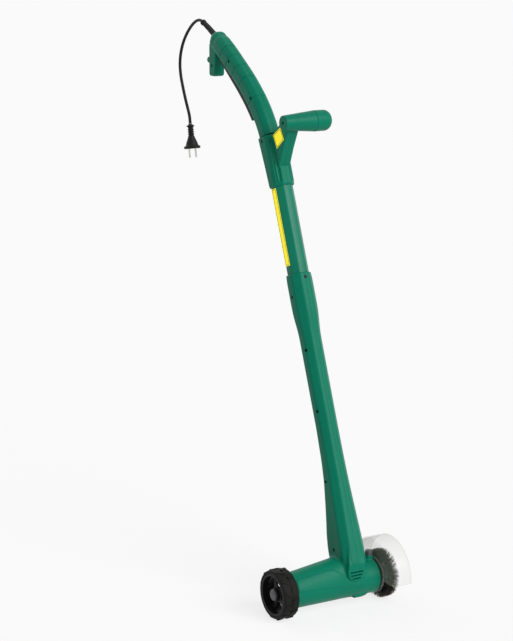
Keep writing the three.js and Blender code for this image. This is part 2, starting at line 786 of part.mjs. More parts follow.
const capStart = motorFront + gap;
const capEnd = capStart + endCapThickness;
const carbonOuter = commutatorRadius + gap + carbonLength;
const commutatorStart = motorFront - commutatorLength;
const carbonMiddle = commutatorStart + commutatorLength / 2;
const carbonHolders = [-1, 1].map((side) => block(
  [commutatorStart, capStart + motorWall],
  [-carbonWidth / 2 - motorWall - gap, carbonWidth / 2 + motorWall + gap],
  side > 0
    ? [axleHeight + commutatorRadius + 2 * gap, axleHeight + carbonOuter + gap]
    : [axleHeight - carbonOuter - gap, axleHeight - commutatorRadius - 2 * gap],
));
const carbonSlot = block(
  [carbonMiddle - carbonWidth / 2 - gap, carbonMiddle + carbonWidth / 2 + gap],
  [-carbonWidth / 2 - gap, carbonWidth / 2 + gap],
  [axleHeight - motorRadius, axleHeight + motorRadius],
);
addPart('motor_end_cap', cut(
  join(
    disc(capStart, capEnd, motorRadius, fineSides),
    disc(motorFront - wall, capStart, motorRadius - motorWall - gap, fineSides).subtract(
      disc(motorFront - wall - overrun, capStart, motorRadius - motorWall - wall, fineSides),
    ),
    carbonHolders,
  ),
  carbonSlot,
  disc(capStart - overrun, capEnd + overrun, shaftBore + motorWall, midSides),
  disc(capStart - overrun, capEnd - motorWall, bearingRadius + gap, midSides),
  disc(motorFront - 2 * commutatorLength, capStart + gap, commutatorRadius + 2 * gap, midSides),
), nylon);
const bearingFront = capEnd - motorWall - gap - bearingWidth + gap;
addPart('motor_bearing_front', ring(
  bearingFront, capEnd - motorWall - gap, shaftBore, bearingRadius, ringSides,
), brightSteel);
[['carbon_brush_upper', 1], ['carbon_brush_lower', -1]].forEach(([name, side]) => {
  const near = axleHeight + side * (commutatorRadius + gap);
  const far = axleHeight + side * carbonOuter;
  addPart(name, block(
    [carbonMiddle - carbonWidth / 2, carbonMiddle + carbonWidth / 2],
    [-carbonWidth / 2, carbonWidth / 2], [Math.min(near, far), Math.max(near, far)],
  ), ferrite);
});

// Armature: shaft, slotted core, winding through the slots, commutator, fan and pinion
const coreRadius = magnetInner - airGap;
const coreMiddle = magnetStart + magnetLength / 2;
const coreStart = coreMiddle - coreLength / 2;
const coreEnd = coreMiddle + coreLength / 2;
const coreHubRadius = coreRadius / 2;
const slotHalf = Math.PI / coreSlots;
const coreOutline = Array.from({ length: coreSlots }, (_, k) => [
  [coreHubRadius, -slotRootShare], [coreRadius, -slotMouthShare], [coreRadius, 0],
  [coreRadius, slotMouthShare], [coreHubRadius, slotRootShare],
].map(([radius, share]) => magnetPolar(radius, (2 * k + share) * slotHalf))).flat();
const roundBore = (from, to, radius) => disc(from - overrun, to + overrun, radius, midSides);
addPart('armature_core', cut(
  prism('x', coreOutline, coreStart, coreEnd), roundBore(coreStart, coreEnd, shaftBore),
), darkSteel);
const windingOuter = coreRadius - 2 * airGap;
const windingInner = shaftBore + motorWall;
const windingRods = Array.from({ length: coreSlots }, (_, k) => {
  const [y, z] = magnetPolar((coreHubRadius + windingOuter) / 2, 2 * slotHalf * (k + 1 / 2));
  return disc(coreStart - windingLength / 2, coreEnd + windingLength / 2, windingRodRadius, rodSides, y, z);
});
addPart('armature_winding', join(
  ring(coreStart - windingLength, coreStart - gap, windingInner, windingOuter, midSides),
  ring(coreEnd + gap, coreEnd + windingLength, windingInner, windingOuter, midSides),
  windingRods,
), copper);
addPart('commutator', ring(
  commutatorStart - 2 * gap, motorFront - 2 * gap, shaftBore, commutatorRadius, ringSides,
), brass);
const fanEnd = motorBack - ribWidth;
const fanStart = fanEnd - fanThickness;
const pinionStart = firstPlate + plateThickness + 2 * gap + gearModule;
const pinionEnd = pinionStart + gearFace;
addPart('motor_shaft', disc(
  fanStart - ribWidth / 2, pinionEnd + gearModule, motorShaftRadius, smallSides,
), brightSteel);
const bladeLength = fanRadius - fanHubRadius + fanDisc;
const blades = Array.from({ length: fanBlades }, (_, k) => {
  const bare = new THREE.BoxGeometry(fanThickness, fanDisc / 2, bladeLength);
  bare.translate(fanStart + fanThickness / 2, 0, fanRadius - bladeLength / 2);
  bare.rotateX(2 * Math.PI * k / fanBlades);
  return solidOf(bare.translate(0, 0, axleHeight));
});
addPart('cooling_fan', cut(
  join(
    disc(fanEnd - fanDisc, fanEnd, fanRadius), disc(fanStart, fanEnd, fanHubRadius, midSides), blades,
  ),
  roundBore(fanStart, fanEnd, shaftBore),
), nylon);

// Spur gears with straight-flanked teeth
function gear(teeth, from, to, y, z, phase) {
  const pitch = teeth * gearModule / 2;
  const tip = pitch + gearModule - gearTipSlack;
  const root = pitch - gearModule * gearRootShare;
  const half = (radius, thickness) => thickness / 2 / radius;
  const pitchThickness = Math.PI * gearModule / 2 - toothBacklash;
  const rows = [
    [root, -pitchThickness * toothRootShare], [tip, -pitchThickness * toothTipShare],
    [tip, pitchThickness * toothTipShare], [root, pitchThickness * toothRootShare],
  ];
  const outline = Array.from({ length: teeth }, (_, k) => rows.map(([radius, thickness]) => {
    const angle = phase + 2 * Math.PI * k / teeth + half(radius, thickness);
    return [y + radius * Math.cos(angle), z + radius * Math.sin(angle)];
  })).flat();
  return prism('x', outline, from, to);
}
const upright = Math.PI / 2;
const idlerHeight = axleHeight + shaftDistance;
const wheelGearStart = pinionStart;
const idlerPinionStart = wheelGearStart + gearFace + gearModule;
const spindleGearStart = idlerPinionStart + gearModule;
const spindleGearEnd = spindleGearStart + gearFace;
addPart('motor_pinion', cut(
  gear(motorTeeth, pinionStart, pinionEnd, 0, axleHeight, upright),
  roundBore(pinionStart, pinionEnd, shaftBore - gap / 2),
), darkSteel);
addPart('idler_gear', cut(
  join(
    gear(idlerWheelTeeth, wheelGearStart, wheelGearStart + gearFace, 0, idlerHeight,
      -upright + Math.PI / idlerWheelTeeth),
    gear(idlerPinionTeeth, idlerPinionStart, spindleGearEnd + gearModule, 0, idlerHeight, -upright),
    disc(wheelGearStart + gearFace, idlerPinionStart, 2 * idlerShaftRadius, smallSides, 0, idlerHeight),
  ),
  disc(wheelGearStart - overrun, spindleGearEnd + overrun, idlerShaftRadius + gap, smallSides, 0,
    idlerHeight),
), nylon);
addPart('spindle_gear', cut(
  gear(spindleTeeth, spindleGearStart, spindleGearEnd, 0, axleHeight, upright + Math.PI / spindleTeeth),
  roundBore(spindleGearStart, spindleGearEnd, spindleRadius + gap),
), darkSteel);

// Gear plates, idler shaft and bearings
const plateHole = (from, radius, z = axleHeight) => disc(
  from - overrun, from + plateThickness + overrun, radius, smallSides, 0, z,
);
addPart('gear_plate_motor_side', cut(
  plateOutline(firstPlate, firstPlate + plateThickness),
  plateHole(firstPlate, 2 * motorShaftRadius), plateHole(firstPlate, idlerShaftRadius + gap, idlerHeight),
), brightSteel);
const innerBearingWidth = bearingWidth;
addPart('gear_plate_brush_side', cut(
  plateOutline(secondPlate, secondPlate + plateThickness).add(
    disc(secondPlate, secondPlate + innerBearingWidth, bearingRadius + spindleRadius, ringSides),
  ),
  disc(secondPlate - overrun, secondPlate + innerBearingWidth + overrun, bearingRadius + spindleRadius / 2,
    ringSides),
  plateHole(secondPlate, idlerShaftRadius + gap, idlerHeight),
), brightSteel);
addPart('idler_shaft', disc(
  firstPlate, secondPlate + plateThickness, idlerShaftRadius, smallSides, 0, idlerHeight,
), brightSteel);
addPart('spindle_bearing_inner', ring(
  secondPlate, secondPlate + innerBearingWidth, spindleRadius + spindleRunningGap,
  bearingRadius + spindleRadius / 2 - gap, ringSides,
), brightSteel);
addPart('spindle_bearing_outer', ring(
  outerBearingStart, outerBearingStart + outerBearingWidth, spindleRadius + spindleRunningGap,
  outerBearingRadius, ringSides,
), brightSteel);

// Spindle with its notched lock collar
const notches = Array.from({ length: 4 }, (_, k) => {
  const bare = new THREE.BoxGeometry(
    lockCollarWidth + 2 * overrun, 2 * (lockPinRadius + 2 * gap), 2 * lockNotchDepth,
  );
  bare.translate(lockPlace, 0, lockCollarRadius);
  bare.rotateX(Math.PI / 2 * k);
  return solidOf(bare.translate(0, 0, axleHeight));
});
addPart('spindle', join(
  disc(spindleGearStart - gearModule, spindleEnd, spindleRadius, midSides),
  cut(disc(lockPlace - lockCollarWidth / 2, lockPlace + lockCollarWidth / 2, lockCollarRadius), notches),
), brightSteel);
const lockPinEnd = axleHeight + lockCollarRadius + 2 * gap;
addPart('spindle_lock_button', join(
  bar(onLock(lockPinEnd), onLock(lockHeadBottom), lockPinRadius, lockPinRadius, screwSides),
  bar(onLock(lockHeadBottom), onLock(lockHeadBottom + lockHeadHeight), lockHeadRadius, lockHeadRadius,
    smallSides),
), greyPlastic);

// Brush: core on the spindle, bristles rooted in a ring, nut
const rootStart = brushStart + brushWidth / 2 - bristleRoot / 2;
const rootEnd = rootStart + bristleRoot;
addPart('brush_core', turned([
  [rootStart - flangeThickness, spindleRadius + gap], [rootStart - flangeThickness, brushFlangeRadius],
  [rootStart, brushFlangeRadius], [rootStart, brushCoreRadius - 2 * flangeThickness],
  [rootEnd, brushCoreRadius - 2 * flangeThickness], [rootEnd, brushFlangeRadius],
  [rootEnd + flangeThickness, brushFlangeRadius], [rootEnd + flangeThickness, spindleRadius + gap],
  [rootStart - flangeThickness, spindleRadius + gap],
], fineSides), blackPlastic);

// The ring's outside is a grid of cells; each half cell grows into one three-sided strand
function bristleRing() {
  const columns = Array.from({ length: bristleColumns }, (_, k) => 2 * Math.PI * k / bristleColumns);
  const inner = brushCoreRadius - 2 * flangeThickness + gap;
  const spot = (x, radius, angle) => new THREE.Vector3(
    x, radius * Math.cos(angle), axleHeight + radius * Math.sin(angle),
  );
  const rootX = (row) => rootStart + gap + (bristleRoot - 2 * gap) * row / bristleRows;
  const tipX = (x) => {
    const share = (x - rootStart) / bristleRoot;
    return brushStart + brushWidth * (tipMarginShare + (1 - 2 * tipMarginShare) * share);
  };
  const triangles = [];
  const quad = (a, b, c, d) => triangles.push(a, b, c, a, c, d);
  const strand = (corners) => {
    const x = corners.reduce((sum, [place]) => sum + place, 0) / 3;
    const angle = corners.reduce((sum, [, turn]) => sum + turn, 0) / 3;
    const roots = corners.map(([place, turn]) => spot(place, brushCoreRadius, turn));
    const tips = corners.map(([place, turn]) => spot(
      tipX(x) + (place - x) * tipShare, brushRadius, angle + (turn - angle) * tipShare,
    ));
    roots.forEach((root, k) => quad(root, roots[(k + 1) % 3], tips[(k + 1) % 3], tips[k]));
    triangles.push(...tips);
  };
  columns.forEach((angle) => {
    const next = angle + 2 * Math.PI / bristleColumns;
    for (let row = 0; row < bristleRows; row += 1) {
      const [near, far] = [rootX(row), rootX(row + 1)];
      strand([[near, angle], [near, next], [far, next]]);
      strand([[near, angle], [far, next], [far, angle]]);
    }
    const [start, end] = [rootX(0), rootX(bristleRows)];
    quad(spot(start, inner, next), spot(start, inner, angle), spot(end, inner, angle),
      spot(end, inner, next));
    quad(spot(start, brushCoreRadius, next), spot(start, brushCoreRadius, angle), spot(start, inner, angle),
      spot(start, inner, next));
    quad(spot(end, inner, next), spot(end, inner, angle), spot(end, brushCoreRadius, angle),
      spot(end, brushCoreRadius, next));
  });
  return solidOf(new THREE.BufferGeometry().setFromPoints(triangles));
}
addPart('brush_bristles', bristleRing(), blackPlastic);
addPart('brush_nut', cut(
  disc(rootEnd + flangeThickness + gap, rootEnd + flangeThickness + gap + nutThickness, nutRadius, rodSides),
  roundBore(rootEnd, spindleEnd, spindleRadius + gap),
), brightSteel);

// Guard: clear hood with an inner side wall and a collar against the casing's end
const hoodSteps = 18;
const hoodArc = (radius, from, to) => Array.from({ length: hoodSteps + 1 }, (_, k) => (
  magnetPolar(radius, from + (to - from) * k / hoodSteps)
));
const hoodShell = prism('x', [
  ...hoodArc(guardRadius, guardRear, guardFront),
  ...hoodArc(guardRadius - guardWall, guardFront, guardRear),
], guardStart, guardEnd);
const hoodSide = prism('x', [
  ...hoodArc(guardRadius, guardRear, guardFront),
  [-guardCollarRadius * flankForwardShare, axleHeight - guardCollarRadius * flankDropShare],
  [guardCollarRadius * flankForwardShare, axleHeight - guardCollarRadius * flankDropShare],
], guardStart, guardStart + guardWall);
addPart('brush_guard', cut(
  join(
    hoodShell, hoodSide, disc(guardStart, guardStart + guardWall, guardCollarRadius),
    ring(guardStart, guardStart + guardCollarWidth, guardCollarRadius - guardWall, guardCollarRadius),
  ),
  disc(guardStart - overrun, guardStart + 2 * guardCollarWidth, guardHoleRadius),
), clearPlastic);

// Shaft tube
const tubeSection = (half) => octagon(half, half, half * tubeChamferShare, half === tubeHalfWidth);
const tubeStart = tubeSeat + gap;
const tubeHull = (half, from, to) => loft([from, to].map(
  (along) => standSection(tubeSection(half), alongPole(along), poleLean),
));
addPart('shaft_tube', cut(
  tubeHull(tubeHalfWidth, tubeStart, tubeTop),
  tubeHull(tubeHalfWidth - tubeWall, tubeStart - overrun, tubeTop + overrun),
  frontBar(-bellHalf, -tubeHalfWidth + 4 * wall, shankHoleRadius),
  disc(-farSide, 0, shankHoleRadius, screwSides, ...bellScrew),
), greenTube);

// Bracket: collar round the tube's top, with the arm that carries the side grip
const bracketHalf = tubeHalfWidth + gap + bracketWall;
const bracketShares = [[0, -0.3, 0], [0.03, 0, 0], [0.45, 0, 0.35], [1, 0, 1]];
const bracketHull = loft(bracketShares.map(([along, rim, swell]) => {
  const halfWidth = bracketHalf + rim * bracketWall;
  const halfDepth = halfWidth + swell * bracketSwell;
  const place = alongPole(
    bracketBottom + along * (bracketTop - bracketBottom), swell * bracketSetBack,
  );
  return standSection(octagon(halfWidth, halfDepth, halfWidth * tubeChamferShare), place, poleLean);
}));
const bracketTopFront = alongPole(bracketTop, -bracketHalf);
const gripCentre = [alongPole(bracketTop)[0] - gripForward, alongPole(bracketTop)[1] + gripAbove];
// Points of the arm round the grip's middle, in shares of the grip's radius
const armFrontShares = [[0.9, -2.6], [0.15, -0.98]];
const armBackShares = [[0.98, 0.17]];
const armHollowShares = [[1.1, -2.4], [0.45, -1.1], [0.5, -0.3], [1.1, -0.1]];
const fromGrip = ([y, z]) => [gripCentre[0] + y * gripRadius, gripCentre[1] + z * gripRadius];
const armOutline = [
  alongPole(armRoot, -bracketHalf), ...armFrontShares.map(fromGrip), gripCentre,
  ...armBackShares.map(fromGrip), bracketTopFront, alongPole(bracketTop), alongPole(armRoot),
];
const armHollowOutline = [
  alongPole(armRoot + 4 * armWall, -bracketHalf - armWall / 2), ...armHollowShares.map(fromGrip),
  alongPole(bracketTop - 2 * armWall, -bracketHalf - armWall),
];
const gripHull = (from, to, radius, round) => turned([
  [from, 0], [from, radius - round], [from + round * cornerSoftShare, radius - round * cornerSoftShare],
  [from + round, radius],
  [to, radius], [to, 0],
], fineSides, ...gripCentre);
const spigotCentre = (along) => alongPole(along, handleSetBack);
const spigotLoft = (half, from, to) => loft([from, to].map(
  (along) => standSection(tubeSection(half), spigotCentre(along), poleLean),
));
const spigotBottom = bracketTop - spigotLength;
const gripScrewRadius = screwShankRadius + gap;
const gripScrewSeat = gripLeftEnd + 2 * gripWall;
const gripScrewBossEnd = -2 * gripWall;
const gripScrewEnd = gripSeam + (gripRightEnd - gripSeam) / 2;
const bracketCasing = cut(
  join(
    bracketHull, prism('x', armOutline, -armHalfWidth, armHalfWidth),
    gripHull(gripLeftEnd, gripSeam, gripRadius, gripEndRound),
  ),
  tubeHull(tubeHalfWidth + gap, bracketBottom - overrun, tubeTop + gap),
  spigotLoft(spigotHalf + gap, spigotBottom - gap, bracketTop + overrun),
  bar([0, ...alongPole(tubeTop, leadInTube)], [0, ...alongPole(spigotBottom, leadInTube)],
    2 * leadRadius, 2 * leadRadius, screwSides),
  prism('x', armHollowOutline, -armHalfWidth + armWall, armHalfWidth - armWall),
  cut(
    disc(gripLeftEnd + 3 * gripWall, gripSeam + overrun, gripRadius - gripWall, fineSides, ...gripCentre),
    disc(gripLeftEnd, gripScrewBossEnd, gripScrewRadius + gripWall, smallSides, ...gripCentre),
  ),
  disc(gripLeftEnd - overrun, gripScrewSeat, headHoleRadius, screwSides, ...gripCentre),
  disc(gripLeftEnd - overrun, gripSeam + overrun, gripScrewRadius, screwSides, ...gripCentre),
);
const bracketScrewPlace = alongPole(bracketTop - spigotLength / 3, bracketSetBack);
const bracketScrewSeat = -(bracketHalf - screwHeadHeight);
const bracketScrewLength = bracketHalf - spigotHalf + 2 * screwTip;
const bracketScrewHole = screwHole(
  ...bracketScrewPlace, bracketHalf + overrun, bracketScrewSeat, bracketScrewLength,
);
addPart('bracket_shell_left', bracketCasing.intersect(leftHalf).subtract(bracketScrewHole), greenPlastic);
addPart('bracket_shell_right', bracketCasing.intersect(rightHalf), greenPlastic);
addPart('bracket_screw', screw(...bracketScrewPlace, bracketScrewSeat, bracketScrewLength), blackenedScrew);
const sleeveStart = gripSeam + gap;
const sleeveRound = 3 * gripEndRound;
addPart('grip_sleeve', cut(
  turned([
    [sleeveStart, 0], [sleeveStart, gripRadius], [gripRightEnd - sleeveRound, gripRadius],
    [gripRightEnd - sleeveRound / 3, gripRadius - sleeveRound / 4],
    [gripRightEnd - sleeveRound / 12, gripRadius - sleeveRound / 2],
    [gripRightEnd, gripRadius - sleeveRound], [gripRightEnd, 0],
  ], fineSides, ...gripCentre),
  cut(
    disc(sleeveStart - overrun, gripRightEnd - sleeveRound, gripRadius - gripWall, fineSides, ...gripCentre),
    disc(sleeveStart, gripRightEnd, gripScrewRadius + gripWall, smallSides, ...gripCentre),
  ),
  disc(sleeveStart - overrun, gripScrewEnd + gap, gripScrewRadius, screwSides, ...gripCentre),
), greenPlastic);
addPart('grip_screw', screw(
  ...gripCentre, gripScrewSeat, gripScrewEnd - gripScrewSeat,
), blackenedScrew);

// Handle: a curved casing in two halves, with the cord hook at its end
const handleRoot = spigotCentre(bracketTop + gap);
const handlePathShares = [
  [0, 0], [0.06, 0.12], [0.181, 0.304], [0.381, 0.522], [0.633, 0.734], [0.851, 0.902], [1, 1],
];
const handlePath = new THREE.CatmullRomCurve3(handlePathShares.map(([y, z]) => new THREE.Vector3(
  0, handleRoot[0] + y * handleReach, handleRoot[1] + z * handleRise,
)), false, 'centripetal');

function onHandle(share) {
  const place = handlePath.getPointAt(share);
  const along = handlePath.getTangentAt(share);
  return { place: [place.y, place.z], lean: share === 0 ? poleLean : Math.atan2(along.y, along.z) };
}

function handlePoint(share, back, ahead = 0) {
  const { place: [y, z], lean } = onHandle(share);
  return [
    y + back * Math.cos(lean) + ahead * Math.sin(lean), z - back * Math.sin(lean) + ahead * Math.cos(lean),
  ];
}

// A block set square on the handle's path: across X, back from the path, along the path
function handleBlock(share, [x0, x1], [b0, b1], [a0, a1]) {
  const { place: [y, z], lean } = onHandle(share);
  const bare = new THREE.BoxGeometry(x1 - x0, b1 - b0, a1 - a0);
  bare.translate((x0 + x1) / 2, (b0 + b1) / 2, (a0 + a1) / 2);
  bare.rotateX(-lean);
  return solidOf(bare.translate(0, y, z));
}

// Handle stations: share of the path, share of the half sizes
const handleShares = [
  [0, 1], [0.1, 1], [0.22, 1], [0.34, 1], [0.46, 1], [0.58, 1], [0.7, 1], [0.8, 1], [0.9, 0.98],
  [0.935, 0.9], [0.96, 0.95], [0.985, 0.86], [1, 0.6],
];
const handleHollowShares = [0.1, 0.985];

function handleLoft(inset, from, to) {
  return loft(handleShares.filter(([share]) => share >= from && share <= to).map(([share, size]) => {
    const { place, lean } = onHandle(share);
    const halfWidth = handleHalfWidth * size - inset;
    return standSection(
      octagon(halfWidth, handleHalfDepth * size - inset, halfWidth * chamferShare, inset === 0), place, lean,
    );
  }));
}

const handleTip = handlePoint(1, 0);
const hookFrontFace = handleTip[0] - hookForward;
const hookBackFace = hookFrontFace + hookDepth;
const hookBottom = handleTip[1] - hookDrop;
const hookOutline = (inset) => [
  [hookFrontFace + inset, hookBottom + hookRound + inset], [hookFrontFace + hookRound, hookBottom + inset],
  [hookBackFace - hookRound, hookBottom + inset], [hookBackFace - inset, hookBottom + hookRound + inset],
  [hookBackFace - inset, handleTip[1] - hookForward], [handleTip[0], handleTip[1] - inset],
  [hookFrontFace + inset - hookRound / 2, handleTip[1] - hookGapDrop - inset],
];
const nubBottom = handleTip[1] - nubDrop;
const nubEnd = hookBackFace + nubLength;
const nubTop = nubBottom + nubHeight;
const nubOutline = [
  [hookBackFace - wall, nubBottom], [nubEnd - hookRound, nubBottom], [nubEnd, nubBottom + hookRound],
  [nubEnd, nubTop - hookRound], [nubEnd - hookRound, nubTop], [hookBackFace - wall, nubTop - nubHeight / 2],
];
const hookHull = join(
  prism('x', hookOutline(0), -hookHalfWidth, hookHalfWidth),
  prism('x', nubOutline, -nubHalfWidth, nubHalfWidth),
);
const hookHollow = prism('x', hookOutline(wall), -hookHalfWidth + wall, hookHalfWidth - wall);

// Lever: a long strip let into the handle's underside, hinged on a pin near its upper end
const leverSamples = 8;
const leverAt = Array.from({ length: leverSamples + 1 }, (_, k) => (
  leverStart + (leverEnd - leverStart) * k / leverSamples
));
const leverProudShares = [1, 1, 0.95, 0.9, 0.8, 0.7, 0.55, 0.35, 0];
const leverOutline = [
  ...leverAt.map((share, k) => handlePoint(share, handleHalfDepth + leverProud * leverProudShares[k])),
  ...leverAt.map((share) => handlePoint(share, handleHalfDepth - leverSunk)).reverse(),
];
const leverPin = handlePoint(leverPivot, handleHalfDepth - leverPinSunk);
const pinBore = disc(
  -handleHalfWidth - overrun, handleHalfWidth + overrun, leverPinRadius + gap / 3, smallSides, ...leverPin,
);
const leverSlotAt = [leverStart - leverSlotShare, ...leverAt.slice(1, -1), leverEnd + leverSlotShare];
const leverSlotDepth = leverSunk + leverProud + 2 * gap;
const leverSlot = prism('x', [
  ...leverSlotAt.map((share) => handlePoint(share, handleHalfDepth + 2 * leverProud)),
  ...leverSlotAt.map((share) => handlePoint(share, handleHalfDepth - leverSlotDepth)).reverse(),
], -leverHalfWidth - gap, leverHalfWidth + gap);
addPart('switch_trigger', cut(
  join(
    prism('x', leverOutline, -leverHalfWidth, leverHalfWidth),
    disc(-leverHalfWidth, leverHalfWidth, leverBossRadius, smallSides, ...leverPin),
  ),
  pinBore,
), blackPlastic);
const pinReach = handleHalfWidth - handleWall;
addPart('trigger_pin', disc(-pinReach, pinReach, leverPinRadius, smallSides, ...leverPin), brightSteel);
const pinBosses = disc(-pinReach - gap, pinReach + gap, leverBossRadius, smallSides, ...leverPin);

// Switch: body between ribs of the casing, with its plunger under the lever
const switchRibs = [-1, 1].map((side) => handleBlock(
  switchPlace,
  side > 0 ? [switchHalfWidth + gap, handleHalfWidth] : [-handleHalfWidth, -switchHalfWidth - gap],
  [-switchHalfHeight, switchHalfHeight], [-ribWidth, ribWidth],
));
const plungerTop = handleHalfDepth - leverSunk - gap;
const [plungerY, plungerZ] = handlePoint(switchPlace, switchHalfHeight - plungerSunk);
const onPlunger = (back) => [0, ...handlePoint(switchPlace, back)];
addPart('switch_body', cut(
  handleBlock(
    switchPlace, [-switchHalfWidth, switchHalfWidth], [-switchHalfHeight, switchHalfHeight],
    [-switchHalfLength, switchHalfLength],
  ),
  bar(onPlunger(switchHalfHeight - plungerWell), onPlunger(switchHalfHeight + overrun),
    plungerRadius + gap, plungerRadius + gap, smallSides),
), blackPlastic);
addPart('switch_plunger', bar(
  [0, plungerY, plungerZ], onPlunger(plungerTop), plungerRadius, plungerRadius, 16,
), greyPlastic);

// Strain relief: a tapered sleeve that bends a little, with a collar at its tip
const reliefPath = new THREE.QuadraticBezierCurve3(
  ...[reliefStart, reliefBend, reliefTip].map(([y, z]) => new THREE.Vector3(0, y, z)),
);
const collarShare = reliefCollarLength / reliefPath.getLength();
const reliefStations = [
  [0, reliefBaseRadius], [1 / 3, reliefBaseRadius + (reliefTipRadius - reliefBaseRadius) / 3],
  [2 / 3, reliefBaseRadius + (reliefTipRadius - reliefBaseRadius) * 2 / 3],
  [1 - collarShare, reliefTipRadius], [1 - collarShare, reliefCollarRadius], [1, reliefCollarRadius],
];
const reliefLoft = (grow) => loft(reliefStations.map(([share, radius]) => {
  const place = reliefPath.getPointAt(share);
  const along = reliefPath.getTangentAt(share);
  return Array.from({ length: midSides }, (_, k) => {
    const angle = 2 * Math.PI * k / midSides;
    const back = (radius + grow) * Math.sin(angle);
    return new THREE.Vector3(
      (radius + grow) * Math.cos(angle), place.y + back * along.z, place.z - back * along.y,
    );
  });
}));
addPart('strain_relief', reliefLoft(0), blackRubber);

// Lead inside the tool, from the switch down to the motor
const leadOverPlate = idlerHeight + (idlerWheelTeeth / 2 + 1) * gearModule + leadRise;
const leadPoints = [
  [0, ...handlePoint(switchPlace, leadRadius, -switchHalfLength - gap)],
  ...leadHandleShares.map((share) => [0, ...handlePoint(share, leadRadius)]),
  [0, ...handlePoint(0, 0)], [0, ...spigotCentre(spigotBottom)],
  [0, ...alongPole(tubeTop, leadInTube)], [0, ...alongPole(tubeTop - spigotLength, leadInTube)],
  [0, ...alongPole(tubeSeat + 6 * spigotLength, leadInTube)], [0, ...alongPole(bellScrewPlace, leadInTube)],
  [0, ...alongPole(poleScrewPlaces[3][0], leadInTube)], [0, ...alongPole(poleScrewPlaces[2][0], leadInTube)],
  [0, ...alongPole(poleScrewPlaces[2][0] - 3 * spigotLength, 0)],
  [0, ...alongPole(poleScrewPlaces[1][0], poleScrewPlaces[1][1] - 4 * leadRadius)],
  [0, ...alongPole(poleScrewPlaces[0][0] + 2 * spigotLength, 0)],
  [-2 * leadRadius, 0, leadOverPlate + 3 * leadRadius],
  [secondPlate - 3 * leadRadius, 0, leadOverPlate],
  [firstPlate + leadRadius, 0, leadOverPlate],
  [firstPlate - leadRadius, 0, leadOverPlate - leadRadius / 4],
  [capEnd, 0, axleHeight + motorRadius + 3 * leadRadius],
].map(([x, y, z]) => new THREE.Vector3(x, y, z));
addPart('inner_lead', pipe(leadPoints, leadRadius, leadSides, leadSteps), blackRubber);

// Screws of the handle and of the hook, with their bosses
const handleScrews = handleScrewShares.map((share) => handlePoint(share, handleScrewBack));
const handleBosses = handleScrews.map(([y, z]) => screwBoss(y, z, -handleHalfWidth, handleHalfWidth));
const hookScrew = [hookFrontFace + hookDepth / 2, hookBottom + hookScrewRise];
const hookScrewLength = hookHalfWidth - handleWall - screwSeat;
const hookBoss = screwBoss(...hookScrew, -hookHalfWidth, hookHalfWidth);

const handleCasing = cut(
  join(
    handleLoft(0, 0, 1), hookHull, spigotLoft(spigotHalf, spigotBottom, bracketTop + 2 * handleWall),
  ),
  cut(
    join(handleLoft(handleWall, ...handleHollowShares), hookHollow),
    switchRibs, pinBosses, handleBosses, hookBoss,
  ),
  spigotLoft(spigotHalf - handleWall, spigotBottom - overrun, bracketTop + 2 * spigotLength),
  leverSlot, pinBore, reliefLoft(gap),
  handleScrews.map(([y, z]) => screwHole(y, z, handleHalfWidth + overrun)),
  screwHole(...hookScrew, handleHalfWidth, screwSeat, hookScrewLength),
);
addPart('handle_shell_left', handleCasing.intersect(leftHalf).subtract(bracketScrewHole), greenPlastic);
addPart('handle_shell_right', handleCasing.intersect(rightHalf), greenPlastic);
handleScrews.forEach(([y, z], k) => addPart(`handle_screw_${k + 1}`, screw(y, z), blackenedScrew));
addPart('hook_screw', screw(...hookScrew, screwSeat, hookScrewLength), blackenedScrew);

// Mains cord with its plug
const cordCurve = cordPoints.map(([y, z]) => new THREE.Vector3(0, y, z));
addPart('power_cord', pipe(cordCurve, cordRadius, cordSides, cordSteps), blackRubber);
const plugTop = cordPoints[cordPoints.length - 1];

// A turned shape hung from the cord's end along the plug's axis
function plugTurned(profile, sides) {
  const bare = new THREE.LatheGeometry(profile.map(([x, r]) => new THREE.Vector2(r, x)), sides);
  bare.rotateX(-Math.PI / 2 - plugLean);
  return solidOf(bare.translate(0, plugTop[0], plugTop[1]));
}
const plugFlangeStart = plugLength - plugFlangeThickness;
addPart('plug_body', plugTurned([
  [gap, 0], [gap, plugTopRadius], [plugRimThickness, plugTopRadius], [plugRimThickness, plugRimRadius],
  [2 * plugRimThickness, plugRimRadius], [2 * plugRimThickness, plugNeckRadius],
  [plugFlangeStart - plugFlangeThickness, plugBodyRadius], [plugFlangeStart, plugFlangeRadius],
  [plugLength, plugFlangeRadius], [plugLength, 0],
], midSides), blackPlastic);
[['plug_pin_left', -1], ['plug_pin_right', 1]].forEach(([name, side]) => {
  const down = [-Math.sin(plugLean), -Math.cos(plugLean)];
  const foot = (distance) => [
    side * pinSpacing / 2 * Math.cos(plugTwist),
    plugTop[0] + down[0] * distance + side * pinSpacing / 2 * Math.sin(plugTwist) * Math.cos(plugLean),
    plugTop[1] + down[1] * distance - side * pinSpacing / 2 * Math.sin(plugTwist) * Math.sin(plugLean),
  ];
  const [root, end] = [plugLength + gap, plugLength + gap + pinLength].map(foot);
  addPart(name, bar(root, end, pinRadius, pinRadius, screwSides), brightSteel);
});

// The origin is where the main handle is held
const held = onHandle(holdShare).place;
parts.position.set(0, -held[0], -held[1]);
const weedBrush = new THREE.Group();
weedBrush.add(parts);

export default weedBrush;
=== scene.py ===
# %% [markdown]
# # Electric weed brush
# A tall tool that brushes weeds out of the joints of a paved yard. A motor lies in the head on the
# ground, with a guide wheel on its left and a wire brush under a clear guard on its right. A pole, a
# tube, a side grip and a curved handle lead up to the hand. The imported model is loaded first. It is the
# fixed frame: every piece made here sits where the imported part sits.

import math
import random

import bmesh
import bpy
from mathutils import Matrix, Vector


